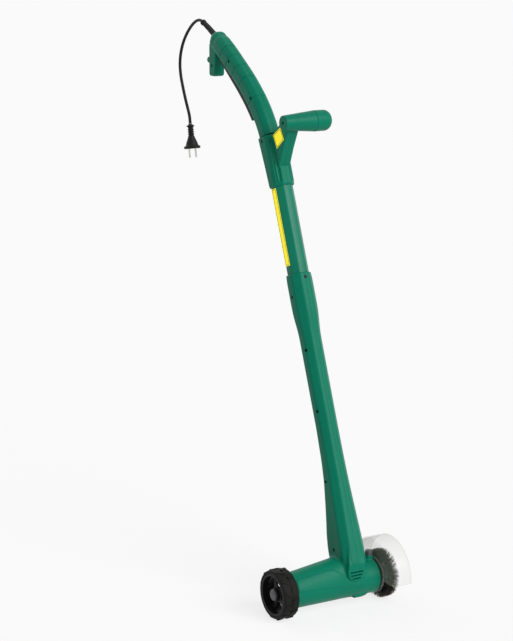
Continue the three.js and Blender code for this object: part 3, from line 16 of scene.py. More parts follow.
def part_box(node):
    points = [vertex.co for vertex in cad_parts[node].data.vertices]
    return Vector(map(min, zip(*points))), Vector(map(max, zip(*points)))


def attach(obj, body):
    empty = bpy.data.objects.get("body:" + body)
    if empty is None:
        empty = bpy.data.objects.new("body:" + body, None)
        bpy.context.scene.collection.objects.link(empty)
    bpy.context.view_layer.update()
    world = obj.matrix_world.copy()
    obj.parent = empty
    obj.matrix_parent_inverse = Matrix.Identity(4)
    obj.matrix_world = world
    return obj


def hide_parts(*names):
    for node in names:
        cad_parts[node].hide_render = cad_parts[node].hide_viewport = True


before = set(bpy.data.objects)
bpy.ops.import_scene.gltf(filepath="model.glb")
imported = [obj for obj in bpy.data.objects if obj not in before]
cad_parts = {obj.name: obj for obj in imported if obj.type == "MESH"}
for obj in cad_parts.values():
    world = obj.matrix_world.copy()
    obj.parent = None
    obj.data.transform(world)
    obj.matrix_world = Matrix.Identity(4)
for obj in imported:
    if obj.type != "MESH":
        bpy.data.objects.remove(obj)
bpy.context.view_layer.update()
print("packed nodes:", len(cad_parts))

# %% [markdown]
# ## One measure for all pieces
# A drawing of the tool is easiest to read in millimetres, counted from the ground and from the wheel's
# axle. The frame is in metres, with its origin in the main handle. One matrix leads from the first to the
# second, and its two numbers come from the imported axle, so no piece is fitted by eye.

# %% From the drawing's millimetres to the frame
MM = 0.001
AXLE_HEIGHT = 50
axle_low, axle_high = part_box("wheel_axle")
axle = (axle_low + axle_high) / 2
ground = axle.z - AXLE_HEIGHT * MM
TO_FRAME = Matrix.Translation((0, axle.y, ground)) @ Matrix.Diagonal((MM, MM, MM, 1))
FROM_FRAME = TO_FRAME.inverted()
print("ground at", round(ground, 5), "axle at", round(axle.y, 5))

# %% [markdown]
# ## Camera
# The picture was taken from far off, a little above the handle's height, from the front and left. A long
# lens keeps the upright pole nearly free of perspective.

# %% Camera
LENS, SENSOR_WIDTH = 113.98, 36
CAMERA_PLACE = (-2128.8, -3159.2, 1417.9)
LOOK_DOWN, LOOK_RIGHT = 12.511, 31.247


def placed(name, data):
    """An object for some data, linked into the scene at the origin."""
    thing = bpy.data.objects.new(name, data)
    bpy.context.scene.collection.objects.link(thing)
    return thing


camera_data = bpy.data.cameras.new("camera")
camera_data.lens = LENS
camera_data.sensor_width = SENSOR_WIDTH
camera = placed("camera", camera_data)
camera.location = TO_FRAME @ Vector(CAMERA_PLACE)
camera.rotation_euler = (math.radians(90 - LOOK_DOWN), 0, math.radians(-LOOK_RIGHT))
bpy.context.scene.camera = camera
bpy.context.scene.view_settings.view_transform = "Standard"
print("camera at", [round(c, 3) for c in camera.location])

# %% [markdown]
# ## Colours and nodes
# Colours are written as they are picked from a screen, and one function turns them into the linear
# numbers that a shader needs. One more function adds a node with its settings and its links, which keeps
# each finish short enough to read.

# %% Colour and node helpers
def linear(code):
    """An sRGB hex colour as a shader's linear numbers."""
    parts = [int(code[k:k + 2], 16) / 255 for k in (1, 3, 5)]
    return [p / 12.92 if p <= 0.04045 else ((p + 0.055) / 1.055) ** 2.4 for p in parts] + [1]


def add(tree, kind, inputs=None, **settings):
    """One node with its settings; an input is a number or another node's output."""
    node = tree.nodes.new(kind)
    for name, value in settings.items():
        setattr(node, name, value)
    for socket, value in (inputs or {}).items():
        if isinstance(value, bpy.types.NodeSocket):
            tree.links.new(value, node.inputs[socket])
        else:
            node.inputs[socket].default_value = value
    return node


def fresh_material(name):
    """An empty node material, its tree and the object's own coordinates."""
    material = bpy.data.materials.new(name)
    material.use_nodes = True
    material.node_tree.nodes.clear()
    place = add(material.node_tree, "ShaderNodeTexCoord").outputs["Object"]
    return material, material.node_tree, place


print("green of the casing:", [round(c, 3) for c in linear("#00785E")])

# %% [markdown]
# ## Moulded plastics and rubbers
# The casing is ABS, injection moulded in a spark-eroded tool, which leaves a fine even grain and a satin
# sheen. The real grain is about 0.1 mm and wouldn't show, so it is drawn at 1 to 2 mm and kept very
# shallow. A second, much wider noise gives the slight unevenness of colour that a large moulding has.
# Soft PVC and tyre rubber take the same recipe with a duller skin and a coarser grain.

# %% Moulded finishes
UNEVEN_SIZE = 60
NOISE_LOW, NOISE_HIGH = 0.3, 0.7
PLASTIC_IOR = 1.5


def moulded(name, colour, lighter, grain, depth, gloss, level):
    """A moulded skin: grain and depth in millimetres, gloss as the lowest and highest roughness."""
    material, tree, place = fresh_material(name)
    flow = add(tree, "ShaderNodeTexNoise", {"Vector": place, "Scale": 1 / (UNEVEN_SIZE * MM), "Detail": 3})
    skin = add(tree, "ShaderNodeTexNoise", {"Vector": place, "Scale": 1 / (grain * MM), "Detail": 2})
    tint = add(tree, "ShaderNodeMix", {0: flow.outputs["Fac"], 6: linear(colour), 7: linear(lighter)},
               data_type="RGBA")
    dull = add(tree, "ShaderNodeMapRange", {
        "Value": skin.outputs["Fac"], "From Min": NOISE_LOW, "From Max": NOISE_HIGH,
        "To Min": gloss[0], "To Max": gloss[1]})
    dents = add(tree, "ShaderNodeBump", {"Height": skin.outputs["Fac"], "Distance": depth * MM})
    shader = add(tree, "ShaderNodeBsdfPrincipled", {
        "Base Color": tint.outputs[2], "Roughness": dull.outputs["Result"], "Normal": dents.outputs["Normal"],
        "IOR": PLASTIC_IOR, "Specular IOR Level": level})
    add(tree, "ShaderNodeOutputMaterial", {"Surface": shader.outputs["BSDF"]})
    return material


finishes = {
    "green_casing": moulded("green_abs_casing", "#006E55", "#00775D", 1.6, 0.05, (0.36, 0.48), 0.12),
    "green_tube": moulded("green_painted_tube", "#006E55", "#00775D", 5, 0.03, (0.28, 0.36), 0.18),
    "black_plastic": moulded("black_nylon_plastic", "#0B0B0C", "#141415", 1.5, 0.06, (0.38, 0.52), 0.16),
    "black_rubber": moulded("black_soft_pvc", "#0C0C0C", "#161615", 1.2, 0.08, (0.42, 0.6), 0.18),
    "tyre_rubber": moulded("tyre_rubber", "#0D0D0C", "#181817", 1.8, 0.15, (0.55, 0.78), 0.14),
    "grey_plastic": moulded("grey_abs", "#48494A", "#56575A", 1.4, 0.06, (0.4, 0.52), 0.4),
    "white_nylon": moulded("white_nylon", "#D9D8CF", "#E4E3DB", 2, 0.03, (0.35, 0.45), 0.4),
    "ferrite": moulded("sintered_ferrite", "#2B2A2C", "#39383A", 0.9, 0.1, (0.6, 0.8), 0.3),
    "carbon": moulded("pressed_carbon", "#1A1A1C", "#2A2A2C", 0.7, 0.08, (0.45, 0.65), 0.4),
}
print("moulded finishes:", sorted(finishes))

# %% [markdown]
# ## Metals
# Screws, shaft and pins are steel. Turned steel shows fine rings round its axis and nickel plate is
# almost a mirror, so the noise is stretched along the axle and drives the roughness. A metal's colour is
# its reflection: the base colour is pale and metallic is one. Blackened screws are dark with a dull
# oxide.

# %% Metal finishes
MARK_SIZE, SCRATCH_DEPTH = 4, 0.02


def metal(name, colour, darker, gloss, stretch):
    """A worked metal: stretch draws the tool marks out, gloss is the lowest and highest roughness."""
    material, tree, place = fresh_material(name)
    turned_place = add(tree, "ShaderNodeMapping", {"Vector": place, "Scale": stretch})
    marks = add(tree, "ShaderNodeTexNoise", {
        "Vector": turned_place.outputs["Vector"], "Scale": 1 / (MARK_SIZE * MM), "Detail": 4})
    tint = add(tree, "ShaderNodeMix", {0: marks.outputs["Fac"], 6: linear(colour), 7: linear(darker)},
               data_type="RGBA")
    dull = add(tree, "ShaderNodeMapRange", {
        "Value": marks.outputs["Fac"], "From Min": NOISE_LOW, "From Max": NOISE_HIGH,
        "To Min": gloss[0], "To Max": gloss[1]})
    scratches = add(tree, "ShaderNodeBump", {"Height": marks.outputs["Fac"], "Distance": SCRATCH_DEPTH * MM})
    shader = add(tree, "ShaderNodeBsdfPrincipled", {
        "Base Color": tint.outputs[2], "Metallic": 1, "Roughness": dull.outputs["Result"],
        "Normal": scratches.outputs["Normal"]})
    add(tree, "ShaderNodeOutputMaterial", {"Surface": shader.outputs["BSDF"]})
    return material


finishes["bright_steel"] = metal("nickel_plated_steel", "#D9D6CF", "#BDBAB4", (0.14, 0.3), (12, 1, 1))
finishes["dark_steel"] = metal("blued_steel", "#6B6C70", "#55565A", (0.3, 0.5), (6, 1, 1))
finishes["screw_steel"] = metal("blackened_screw_steel", "#2A2A2C", "#1C1C1E", (0.35, 0.55), (4, 1, 1))
finishes["winding_copper"] = metal("enamelled_copper", "#B8642F", "#8F4A22", (0.25, 0.4), (1, 9, 1))
finishes["commutator_brass"] = metal("turned_brass", "#C9A355", "#A98440", (0.2, 0.35), (12, 1, 1))
print("finishes so far:", len(finishes))

# %% [markdown]
# ## Clear guard
# The guard is moulded from clear polycarbonate and is a little grey and scuffed from grit. Real
# refraction through two thin walls is hardly seen, so the wall is a thin veil: light passes with a faint
# tint, and a glancing look meets more plastic and more shine. Fine scuffs vary the roughness.

# %% Clear guard finish
SCUFF_SIZE = 9
POLYCARBONATE_IOR = 1.58


def clear_moulding(name, colour, scuffed, veil, edge_veil, gloss):
    """Clear plastic as a veil that thickens towards its glancing edges."""
    material, tree, place = fresh_material(name)
    scuffs = add(tree, "ShaderNodeTexNoise", {"Vector": place, "Scale": 1 / (SCUFF_SIZE * MM), "Detail": 6})
    facing = add(tree, "ShaderNodeLayerWeight", {"Blend": 0.35})
    cover = add(tree, "ShaderNodeMapRange", {
        "Value": facing.outputs["Facing"], "To Min": veil, "To Max": edge_veil})
    dull = add(tree, "ShaderNodeMapRange", {
        "Value": scuffs.outputs["Fac"], "From Min": 0.35, "From Max": 0.65,
        "To Min": gloss[0], "To Max": gloss[1]})
    tint = add(tree, "ShaderNodeMix", {0: scuffs.outputs["Fac"], 6: linear(colour), 7: linear(scuffed)},
               data_type="RGBA")
    shader = add(tree, "ShaderNodeBsdfPrincipled", {
        "Base Color": tint.outputs[2], "Roughness": dull.outputs["Result"], "Alpha": cover.outputs["Result"],
        "IOR": POLYCARBONATE_IOR})
    add(tree, "ShaderNodeOutputMaterial", {"Surface": shader.outputs["BSDF"]})
    return material


finishes["clear_guard"] = clear_moulding("clear_polycarbonate", "#AFADA3", "#C9C7BE", 0.045, 0.4,
                                         (0.08, 0.22))
print("guard finish made")

# %% [markdown]
# ## Brush wire and printed panels
# The bristles are dark crimped wire and nylon, lighter and browner towards the tips. The colour
# therefore depends on how far a point is from the axle, which the object's own coordinates give.
# The two yellow panels are printed foil with a thin dark border, and carry no words. A little emission
# on the yellow is painted light: it keeps both panels bright on their shaded left faces.

# %% Bristle and foil finishes
SPECKLE_SIZE = 1.6
FOIL_PAINTED_LIGHT = 0.4


def bristle_finish(name, root, tip, root_radius, tip_radius):
    """Dark wire that turns lighter towards its ends, by distance from the axle."""
    material, tree, place = fresh_material(name)
    centred = add(tree, "ShaderNodeMapping", {
        "Vector": place, "Location": (0, -axle.y, -axle.z), "Scale": (0, 1, 1)})
    reach = add(tree, "ShaderNodeVectorMath", {0: centred.outputs["Vector"]}, operation="LENGTH")
    towards_tip = add(tree, "ShaderNodeMapRange", {
        "Value": reach.outputs["Value"], "From Min": root_radius * MM, "From Max": tip_radius * MM})
    speckle = add(tree, "ShaderNodeTexNoise", {
        "Vector": place, "Scale": 1 / (SPECKLE_SIZE * MM), "Detail": 2})
    patch = add(tree, "ShaderNodeMath", {0: towards_tip.outputs["Result"], 1: speckle.outputs["Fac"]},
                operation="MULTIPLY")
    tint = add(tree, "ShaderNodeMix", {0: patch.outputs["Value"], 6: linear(root), 7: linear(tip)},
               data_type="RGBA")
    shader = add(tree, "ShaderNodeBsdfPrincipled", {
        "Base Color": tint.outputs[2], "Roughness": 0.42, "IOR": PLASTIC_IOR})
    add(tree, "ShaderNodeOutputMaterial", {"Surface": shader.outputs["BSDF"]})
    return material


finishes["bristle_nylon"] = bristle_finish("crimped_bristle_wire", "#0F0F12", "#5A4A3A", 40, 51)
yellow_foil = moulded("yellow_foil_painted_light", "#F7E600", "#FFEE10", 6, 0.01, (0.3, 0.4), 0.3)
foil_shader = next(n for n in yellow_foil.node_tree.nodes if n.type == "BSDF_PRINCIPLED")
# The emission is painted light, which keeps the yellow bright where the panel lies in shade.
foil_shader.inputs["Emission Color"].default_value = linear("#FFEE00")
foil_shader.inputs["Emission Strength"].default_value = FOIL_PAINTED_LIGHT
black_print = moulded("black_foil_print", "#1A1A18", "#242420", 3, 0.01, (0.35, 0.45), 0.4)
print("bristle and foil finishes made")

# %% [markdown]
# ## Shaping helpers
# Most of this tool is made by four moves that a workshop also knows: a section drawn along a line (loft),
# a profile turned on a lathe, an outline pushed out to a thickness, and one body cut by another. Each is
# one bmesh operator here, with its normals set outwards before anything is cut.

# %% Loft, turning, prism and softened edges
def rounded(bm, edges, width, segments):
    """Rounds these edges."""
    bmesh.ops.bevel(bm, geom=edges, offset=width, offset_type="OFFSET", segments=segments, profile=0.5,
                    affect="EDGES", material=-1, clamp_overlap=True)


def moved(bm, matrix):
    """The same bmesh, moved by a matrix."""
    bmesh.ops.transform(bm, matrix=matrix, verts=bm.verts)
    return bm


def circle(steps, start=0):
    """The angles of evenly spaced points round a circle."""
    return [start + 2 * math.pi * k / steps for k in range(steps)]


def ring(bm, points):
    """A closed ring of edges through points."""
    verts = [bm.verts.new(p) for p in points]
    return [bm.edges.new(pair) for pair in zip(verts, verts[1:] + verts[:1])]


def loft(sections, long_bevel=0, closed=False):
    """A skin over sections of the same count of points, with its long edges rounded."""
    bm = bmesh.new()
    rings = [ring(bm, points) for points in sections]
    bm.verts.index_update()
    count = len(sections[0])
    pairs = list(zip(rings, rings[1:])) + ([(rings[-1], rings[0])] if closed else [])
    for near, far in pairs:
        bmesh.ops.bridge_loops(bm, edges=near + far)
    if not closed:
        bmesh.ops.edgeloop_fill(bm, edges=rings[0])
        bmesh.ops.edgeloop_fill(bm, edges=rings[-1])
    bmesh.ops.recalc_face_normals(bm, faces=bm.faces)
    if long_bevel:
        long_edges = [e for e in bm.edges if e.verts[0].index // count != e.verts[1].index // count]
        rounded(bm, long_edges, long_bevel, 3)
    return bm


def turned(profile, steps, closed=False, middle=(0, AXLE_HEIGHT)):
    """A profile of (place, radius) turned round a line along x through middle."""
    bm = bmesh.new()
    verts = [bm.verts.new((place, 0, radius)) for place, radius in profile]
    edges = [bm.edges.new(pair) for pair in zip(verts, verts[1:])]
    if closed:
        edges.append(bm.edges.new((verts[-1], verts[0])))
    bmesh.ops.spin(bm, geom=verts + edges, cent=(0, 0, 0), axis=(1, 0, 0), angle=2 * math.pi, steps=steps,
                   use_merge=True)
    bmesh.ops.remove_doubles(bm, verts=bm.verts, dist=1e-4)
    bmesh.ops.recalc_face_normals(bm, faces=bm.faces)
    bmesh.ops.translate(bm, verts=bm.verts, vec=(0, *middle))
    return bm


def prism(points, push):
    """An outline pushed out along a vector."""
    bm = bmesh.new()
    face = bm.faces.new([bm.verts.new(p) for p in points])
    far = bmesh.ops.extrude_face_region(bm, geom=[face])["geom"]
    bmesh.ops.translate(bm, verts=[g for g in far if isinstance(g, bmesh.types.BMVert)], vec=push)
    bmesh.ops.recalc_face_normals(bm, faces=bm.faces)
    return bm


def soften(bm, width, segments=2, angle=35):
    """Rounds every edge that is sharper than angle."""
    sharp = [e for e in bm.edges if len(e.link_faces) == 2 and e.calc_face_angle(0) > math.radians(angle)]
    rounded(bm, sharp, width, segments)
    return bm


def gathered(*parts):
    """Several bmeshes in one."""
    whole = parts[0]
    for bm in parts[1:]:
        mesh = bpy.data.meshes.new("part")
        bm.to_mesh(mesh)
        bm.free()
        whole.from_mesh(mesh)
        bpy.data.meshes.remove(mesh)
    return whole


print("shaping helpers ready")

# %% [markdown]
# Two more moves need a modifier: cutting or joining two bodies, and melting overlapping bodies into one
# moulded skin. The second takes a fine voxel remesh and a few smoothing passes. It leaves the small radii
# that a real mould has on every corner, and where a pole grows out of a barrel it leaves a fillet, which
# no chain of bevels would give.

# %% Cut, join and melt
def worked(bm, kind, other=None, **settings):
    """The bmesh after one modifier, with another bmesh as its tool."""
    objects = []
    for part in (bm, other):
        if part is None:
            continue
        mesh = bpy.data.meshes.new("work")
        part.to_mesh(mesh)
        part.free()
        objects.append(placed("work", mesh))
    modifier = objects[0].modifiers.new("step", kind)
    if other is not None:
        modifier.object = objects[1]
    for name, value in settings.items():
        setattr(modifier, name, value)
    result = bmesh.new()
    result.from_object(objects[0], bpy.context.evaluated_depsgraph_get())
    for thing in objects:
        mesh = thing.data
        bpy.data.objects.remove(thing)
        bpy.data.meshes.remove(mesh)
    return result


def cut(bm, tool):
    return worked(bm, "BOOLEAN", tool, operation="DIFFERENCE", solver="EXACT")


def join(bm, tool):
    return worked(bm, "BOOLEAN", tool, operation="UNION", solver="EXACT")


def smoothed(bm, verts, passes):
    for _ in range(passes):
        bmesh.ops.smooth_vert(bm, verts=verts, factor=0.5, use_axis_x=True, use_axis_y=True, use_axis_z=True)


def melted(bm, voxel, passes=4):
    """Overlapping bodies as one moulded skin."""
    skin = worked(bm, "REMESH", mode="VOXEL", voxel_size=voxel, adaptivity=0)
    smoothed(skin, skin.verts, passes)
    return skin


print("cut, join and melt ready")

# %% [markdown]
# A finished piece gets its finish, its smooth shading and its body in one place, so that no piece is left
# without one of them. Edges above 32 degrees stay crisp.

# %% Piece
CRISP = 32


def piece(name, bm, slot, body, nodes=(), crisp=CRISP, material=None):
    """A piece in the frame, riding on its body and standing for its nodes."""
    moved(bm, TO_FRAME)
    mesh = bpy.data.meshes.new(name)
    bm.to_mesh(mesh)
    bm.free()
    mesh.materials.append(material or finishes[slot])
    mesh.shade_smooth()
    mesh.set_sharp_from_angle(angle=math.radians(crisp))
    thing = placed(name, mesh)
    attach(thing, body)
    if nodes:
        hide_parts(*nodes)
    print(name, len(mesh.polygons), "faces")
    return thing


def halves(names, bm, slot, nodes, seam=0.35):
    """A moulded body parted at its middle plane, with a fine groove along the parting line."""
    for side, name, node in zip((-1, 1), names, nodes):
        shell = bm.copy()
        for offset, clear in ((2 * seam, False), (0, True)):
            bmesh.ops.bisect_plane(shell, geom=shell.verts[:] + shell.edges[:] + shell.faces[:], dist=1e-4,
                                   plane_co=(side * offset, 0, 0), plane_no=(-side, 0, 0), clear_outer=clear)
        rim = [e for e in shell.edges if e.is_boundary]
        rim_verts = list({v for e in rim for v in e.verts})
        moves = {v: -seam * Vector((0, v.normal.y, v.normal.z)) for v in rim_verts}
        for vert, move in moves.items():
            vert.co += move
        bmesh.ops.triangle_fill(shell, edges=rim, use_beauty=True)
        bmesh.ops.recalc_face_normals(shell, faces=shell.faces)
        piece(name, shell, slot, "frame", [node])
    bm.free()


# %% [markdown]
# ## Mains cord
# The cord leaves the handle's end through a strain relief, bows over and hangs to its plug. The picture
# shows all of it, so its length is what shows. A curve with automatic handles through measured points
# gives the even bow of a stiff rubber lead, and its bevel the round section.

# %% Cord
CORD_RADIUS = 3.2
cord_route = [
    (566.3, 1107.1), (572, 1109), (579, 1110.2), (588, 1109.3), (600, 1105), (612, 1098),
    (624, 1088.8), (635, 1078.4), (645, 1067), (653, 1055), (659.5, 1042), (664, 1028),
    (666, 1013), (665, 998), (661.5, 983), (656, 968), (650, 953.5), (643.5, 939),
    (636.5, 925), (630, 912.5), (626, 903), (624, 893.5), (623, 887),
]
cord_curve = bpy.data.curves.new("mains_lead", "CURVE")
cord_curve.dimensions = "3D"
cord_curve.bevel_depth = CORD_RADIUS * MM
cord_curve.bevel_resolution = 5
cord_curve.resolution_u = 6
cord_curve.use_fill_caps = True
spline = cord_curve.splines.new("BEZIER")
spline.bezier_points.add(len(cord_route) - 1)
for point, (back, up) in zip(spline.bezier_points, cord_route):
    point.co = TO_FRAME @ Vector((0, back, up))
    point.handle_left_type = "AUTO"
    point.handle_right_type = "AUTO"
cord_curve.materials.append(finishes["black_rubber"])
mains_lead = placed("mains_lead", cord_curve)
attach(mains_lead, "frame")
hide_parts("power_cord")

# %% [markdown]
# ## Plug and pins
# A moulded two-pin plug: a thin collar, a ribbed neck that bends with the lead, a cone to hold and a flat
# flange above the pins. All of it is round, so it is one turned profile. The ribs are cut in the neck as
# grooves of the profile. It hangs a little off plumb, as the lead's own spring holds it.

# %% Plug
PLUG_TOP = (623, 887)
PLUG_LEAN = math.radians(9)
plug_place = (Matrix.Translation((0, *PLUG_TOP)) @ Matrix.Rotation(-PLUG_LEAN, 4, "X")
              @ Matrix.Rotation(math.pi / 2, 4, "Y"))
plug_profile = [(0.3, 0), (0.3, 4.2), (0.9, 5), (2.8, 5), (3, 7.9), (3.6, 8.5), (5.4, 8.5), (6, 7.9), (6, 6)]
for start in (8, 13, 18, 23):
    plug_profile += [(start, 6.2 + start / 40), (start + 1, 5 + start / 40), (start + 2.2, 5 + start / 40),
                     (start + 3, 6.4 + start / 40)]
plug_profile += [(29, 7.6), (33, 9.2), (39, 11.6), (42.5, 12.6), (45.5, 13.6), (47, 14.6), (47, 16.6),
                 (47.9, 17.5), (52.1, 17.5), (53, 16.6), (53, 0)]
plug_bm = moved(turned(plug_profile, 48, middle=(0, 0)), plug_place)
plug = piece("plug", plug_bm, "black_rubber", "frame", ["plug_body"])

PRONG_ROOT, PRONG_TIP = 53.3, 72.3
prong_profile = [(PRONG_ROOT, 0), (PRONG_ROOT, 2.4), (55, 2.4), (55.2, 2.15), (70.5, 2.15), (71.7, 1.6),
                 (PRONG_TIP, 0.7), (PRONG_TIP, 0)]
for node in ("plug_pin_left", "plug_pin_right"):
    prong = moved(turned(prong_profile, 20, middle=(0, 0)), plug_place)
    pin_low, pin_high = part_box(node)
    prong_middle = plug_place @ Vector(((PRONG_ROOT + PRONG_TIP) / 2, 0, 0))
    aside = FROM_FRAME @ ((pin_low + pin_high) / 2) - prong_middle
    bmesh.ops.translate(prong, verts=prong.verts, vec=aside)
    piece(node + "_detail", prong, "bright_steel", "frame", [node])

# %% [markdown]
# ## Lines of the pole and the handle
# The pole leans back by 20.4 degrees. A point on it is given by how far along it lies and how far behind
# its middle line. The handle follows a bent line: a centripetal Catmull-Rom curve, which passes through
# its points without loops, sampled closely and then read by its share of the whole length.

# %% Pole and handle lines
POLE_LEAN = math.radians(20.4)
POLE_LENGTH = 622
POLE_ROOT = -28.3
LEAN_SIN, LEAN_COS = math.sin(POLE_LEAN), math.cos(POLE_LEAN)


def along_pole(along, back=0):
    """The (y, z) of a point on the pole."""
    return (POLE_ROOT + along * LEAN_SIN + back * LEAN_COS,
            AXLE_HEIGHT + along * LEAN_COS - back * LEAN_SIN)


def flowing(points, steps=24):
    """Close points of a centripetal Catmull-Rom curve through points."""
    ghost_start = 2 * points[0] - points[1]
    ghost_end = 2 * points[-1] - points[-2]
    knots = [ghost_start, *points, ghost_end]
    line = []
    for p0, p1, p2, p3 in zip(knots, knots[1:], knots[2:], knots[3:]):
        t1 = math.sqrt((p1 - p0).length)
        t2 = t1 + math.sqrt((p2 - p1).length)
        t3 = t2 + math.sqrt((p3 - p2).length)
        for k in range(steps):
            t = t1 + (t2 - t1) * k / steps
            a1 = p0 + (p1 - p0) * (t / t1)
            a2 = p1 + (p2 - p1) * ((t - t1) / (t2 - t1))
            a3 = p2 + (p3 - p2) * ((t - t2) / (t3 - t2))
            b1 = a1 + (a2 - a1) * (t / t2)
            b2 = a2 + (a3 - a2) * ((t - t1) / (t3 - t1))
            line.append(b1 + (b2 - b1) * ((t - t1) / (t2 - t1)))
    return line + [points[-1]]


def reader(line):
    """A function that gives the point and the direction at a share of the line's length."""
    lengths = [0]
    for a, b in zip(line, line[1:]):
        lengths.append(lengths[-1] + (b - a).length)

    def at(share):
        goal = min(max(share, 0), 1) * lengths[-1]
        k = next((i for i in range(1, len(lengths)) if lengths[i] >= goal), len(lengths) - 1)
        part = (goal - lengths[k - 1]) / (lengths[k] - lengths[k - 1])
        return line[k - 1].lerp(line[k], part), (line[k] - line[k - 1]).normalized()

    return at


HANDLE_START, HANDLE_BACK = 905.3, 10
HANDLE_REACH, HANDLE_RISE = 215, 184
handle_shares = [(0, 0), (0.06, 0.12), (0.181, 0.304), (0.381, 0.522), (0.633, 0.734), (0.851, 0.902), (1, 1)]
handle_root = Vector(along_pole(HANDLE_START, HANDLE_BACK))
handle_at = reader(flowing([handle_root + Vector((u * HANDLE_REACH, v * HANDLE_RISE))
                            for u, v in handle_shares]))
print("handle ends at", [round(c, 1) for c in handle_at(1)[0]])

# %% [markdown]
# Pole, tube, bracket and handle share one section: an octagon whose corner cuts vary. It is wanted
# upright across a line, so one function places its corners there.

# %% Octagon section
TUBE_CHAMFER = 2 - math.sqrt(2)


def octagon(centre, direction, half_width, half_depth, chamfer):
    """Eight corners across a line with this centre and direction in (y, z)."""
    back = Vector((direction[1], -direction[0]))
    corners = [(half_width, half_depth - chamfer), (half_width - chamfer, half_depth)]
    quarter = corners + [(-u, v) for u, v in reversed(corners)]
    outline = quarter + [(-u, -v) for u, v in quarter]
    return [(u, centre[0] + v * back.x, centre[1] + v * back.y) for u, v in outline]


def table(rows, share):
    """A row of numbers between two rows of a table, by share."""
    for low, high in zip(rows, rows[1:]):
        if share <= high[0]:
            part = max(0, (share - low[0]) / (high[0] - low[0]))
            return [a + (b - a) * part for a, b in zip(low[1:], high[1:])]
    return rows[-1][1:]


def eased(rows, share, reach=0.012):
    """The table's numbers with its kinks smoothed."""
    samples = [table(rows, share + reach * k / 2) for k in range(-2, 3)]
    return [sum(column) / len(samples) for column in zip(*samples)]


print("tube corner share", round(TUBE_CHAMFER, 3))

# %% [markdown]
# ## Casing of head and pole
# The real casing is a pair of ABS mouldings, left and right, that hold motor, gears and tube. The pole
# grows out of the barrel with a wide foot and ends in a bell round the tube. The table gives its foot
# (flare) and its bell by share of the length. The barrel is a loft too: it is round on the brush side and
# rises in a crown towards the pole.

# %% Pole and barrel bodies
NECK_HALF, FOOT_WIDEN, FOOT_DEEPEN, BELL_WIDEN, FOOT_SETBACK = 20.9, 6.1, 17.1, 3.7, 14
FOOT_CHAMFER = 0.5
POLE_FIRST = 0.06
BODY_BEVEL = 2.6
pole_rows = [
    (POLE_FIRST, 1, 0), (0.12, 1, 0), (0.169, 0.86, 0), (0.2, 0.71, 0), (0.265, 0.45, 0), (0.331, 0.21, 0),
    (0.395, 0.08, 0), (0.5, 0, 0), (0.79, 0, 0), (0.82, 0, 0.18), (0.849, 0, 0.66), (0.875, 0, 0.94),
    (0.9, 0, 1), (0.985, 0, 1), (1, 0, 0.7),
]


def pole_sizes(share, inset=0):
    flare, bell = eased(pole_rows, share)
    half_width = NECK_HALF + flare * FOOT_WIDEN + bell * BELL_WIDEN
    half_depth = NECK_HALF + flare * FOOT_DEEPEN + bell * BELL_WIDEN
    chamfer = half_width * (TUBE_CHAMFER + flare * (FOOT_CHAMFER - TUBE_CHAMFER))
    return half_width - inset, half_depth - inset, chamfer - inset * TUBE_CHAMFER, FOOT_SETBACK * flare


def pole_body(first, last, count, inset=0):
    sections = []
    for k in range(count + 1):
        share = first + (last - first) * k / count
        half_width, half_depth, chamfer, setback = pole_sizes(share, inset)
        sections.append(octagon(along_pole(share * POLE_LENGTH, setback), (LEAN_SIN, LEAN_COS), half_width,
                                half_depth, chamfer))
    return loft(sections, 0 if inset else BODY_BEVEL)


BARREL_LEFT, BARREL_RIGHT = -139, 56
CROWN_TURN = math.radians(8)
crown_rows = [(BARREL_LEFT, 2.5, 34), (-22, 16, 34.6), (0, 17, 35), (24, 0, 35), (BARREL_RIGHT, 0, 35)]


def barrel_radius(place, angle, inset=0):
    crown, radius = table(crown_rows, place)
    return radius - inset + crown * max(0, math.sin(angle + CROWN_TURN)) ** 2


BARREL_STEPS, BARREL_POINTS, CORNER_SHARE = 24, 64, 0.3


def barrel_body(first, last, corner, inset=0):
    """The barrel's skin, with both ends chamfered and their corner broken once more."""
    nearly = corner * CORNER_SHARE
    straight = last - first - 2 * corner
    places = [first, first + nearly, first + corner]
    places += [first + corner + straight * k / BARREL_STEPS for k in range(1, BARREL_STEPS)]
    places += [last - corner, last - nearly, last]
    drops = [corner, nearly] + [0] * (len(places) - 4) + [nearly, corner]
    sections = []
    for place, drop in zip(places, drops):
        polar = [(a, barrel_radius(place, a, inset) - drop) for a in circle(BARREL_POINTS)]
        sections.append([(place, r * math.cos(a), AXLE_HEIGHT + r * math.sin(a)) for a, r in polar])
    return loft(sections)


def cylinder(start, end, radius, middle, steps=24):
    return turned([(start, 0), (start, radius), (end, radius), (end, 0)], steps, middle=middle)


TONGUE_MIDDLE, TONGUE_HALF, TONGUE_LOW, TONGUE_TOP, TONGUE_TOP_HALF = -5, 20, 77, 142, 13.4
TONGUE_FRONT, TONGUE_REAR = -37.5, -5
tongue_outline = [(TONGUE_MIDDLE + TONGUE_HALF * math.cos(a), TONGUE_LOW + TONGUE_HALF * math.sin(a))
                  for a in [math.pi + math.pi * k / 20 for k in range(21)]]
tongue_outline += [(TONGUE_TOP_HALF, TONGUE_TOP), (-TONGUE_TOP_HALF, TONGUE_TOP)]
tongue = prism([(x, TONGUE_REAR, z) for x, z in tongue_outline], (0, TONGUE_FRONT - TONGUE_REAR, 0))
TONGUE_BEND, TONGUE_SLOPE = 93, 0.39
bmesh.ops.bisect_plane(tongue, geom=tongue.verts[:] + tongue.edges[:] + tongue.faces[:], dist=1e-4,
                       plane_co=(0, 0, TONGUE_BEND), plane_no=(0, 0, 1))
for vert in tongue.verts:
    if vert.co.y < (TONGUE_FRONT + TONGUE_REAR) / 2:
        vert.co.y += max(0, vert.co.z - TONGUE_BEND) * TONGUE_SLOPE
soften(tongue, 1.6, 3, 40)

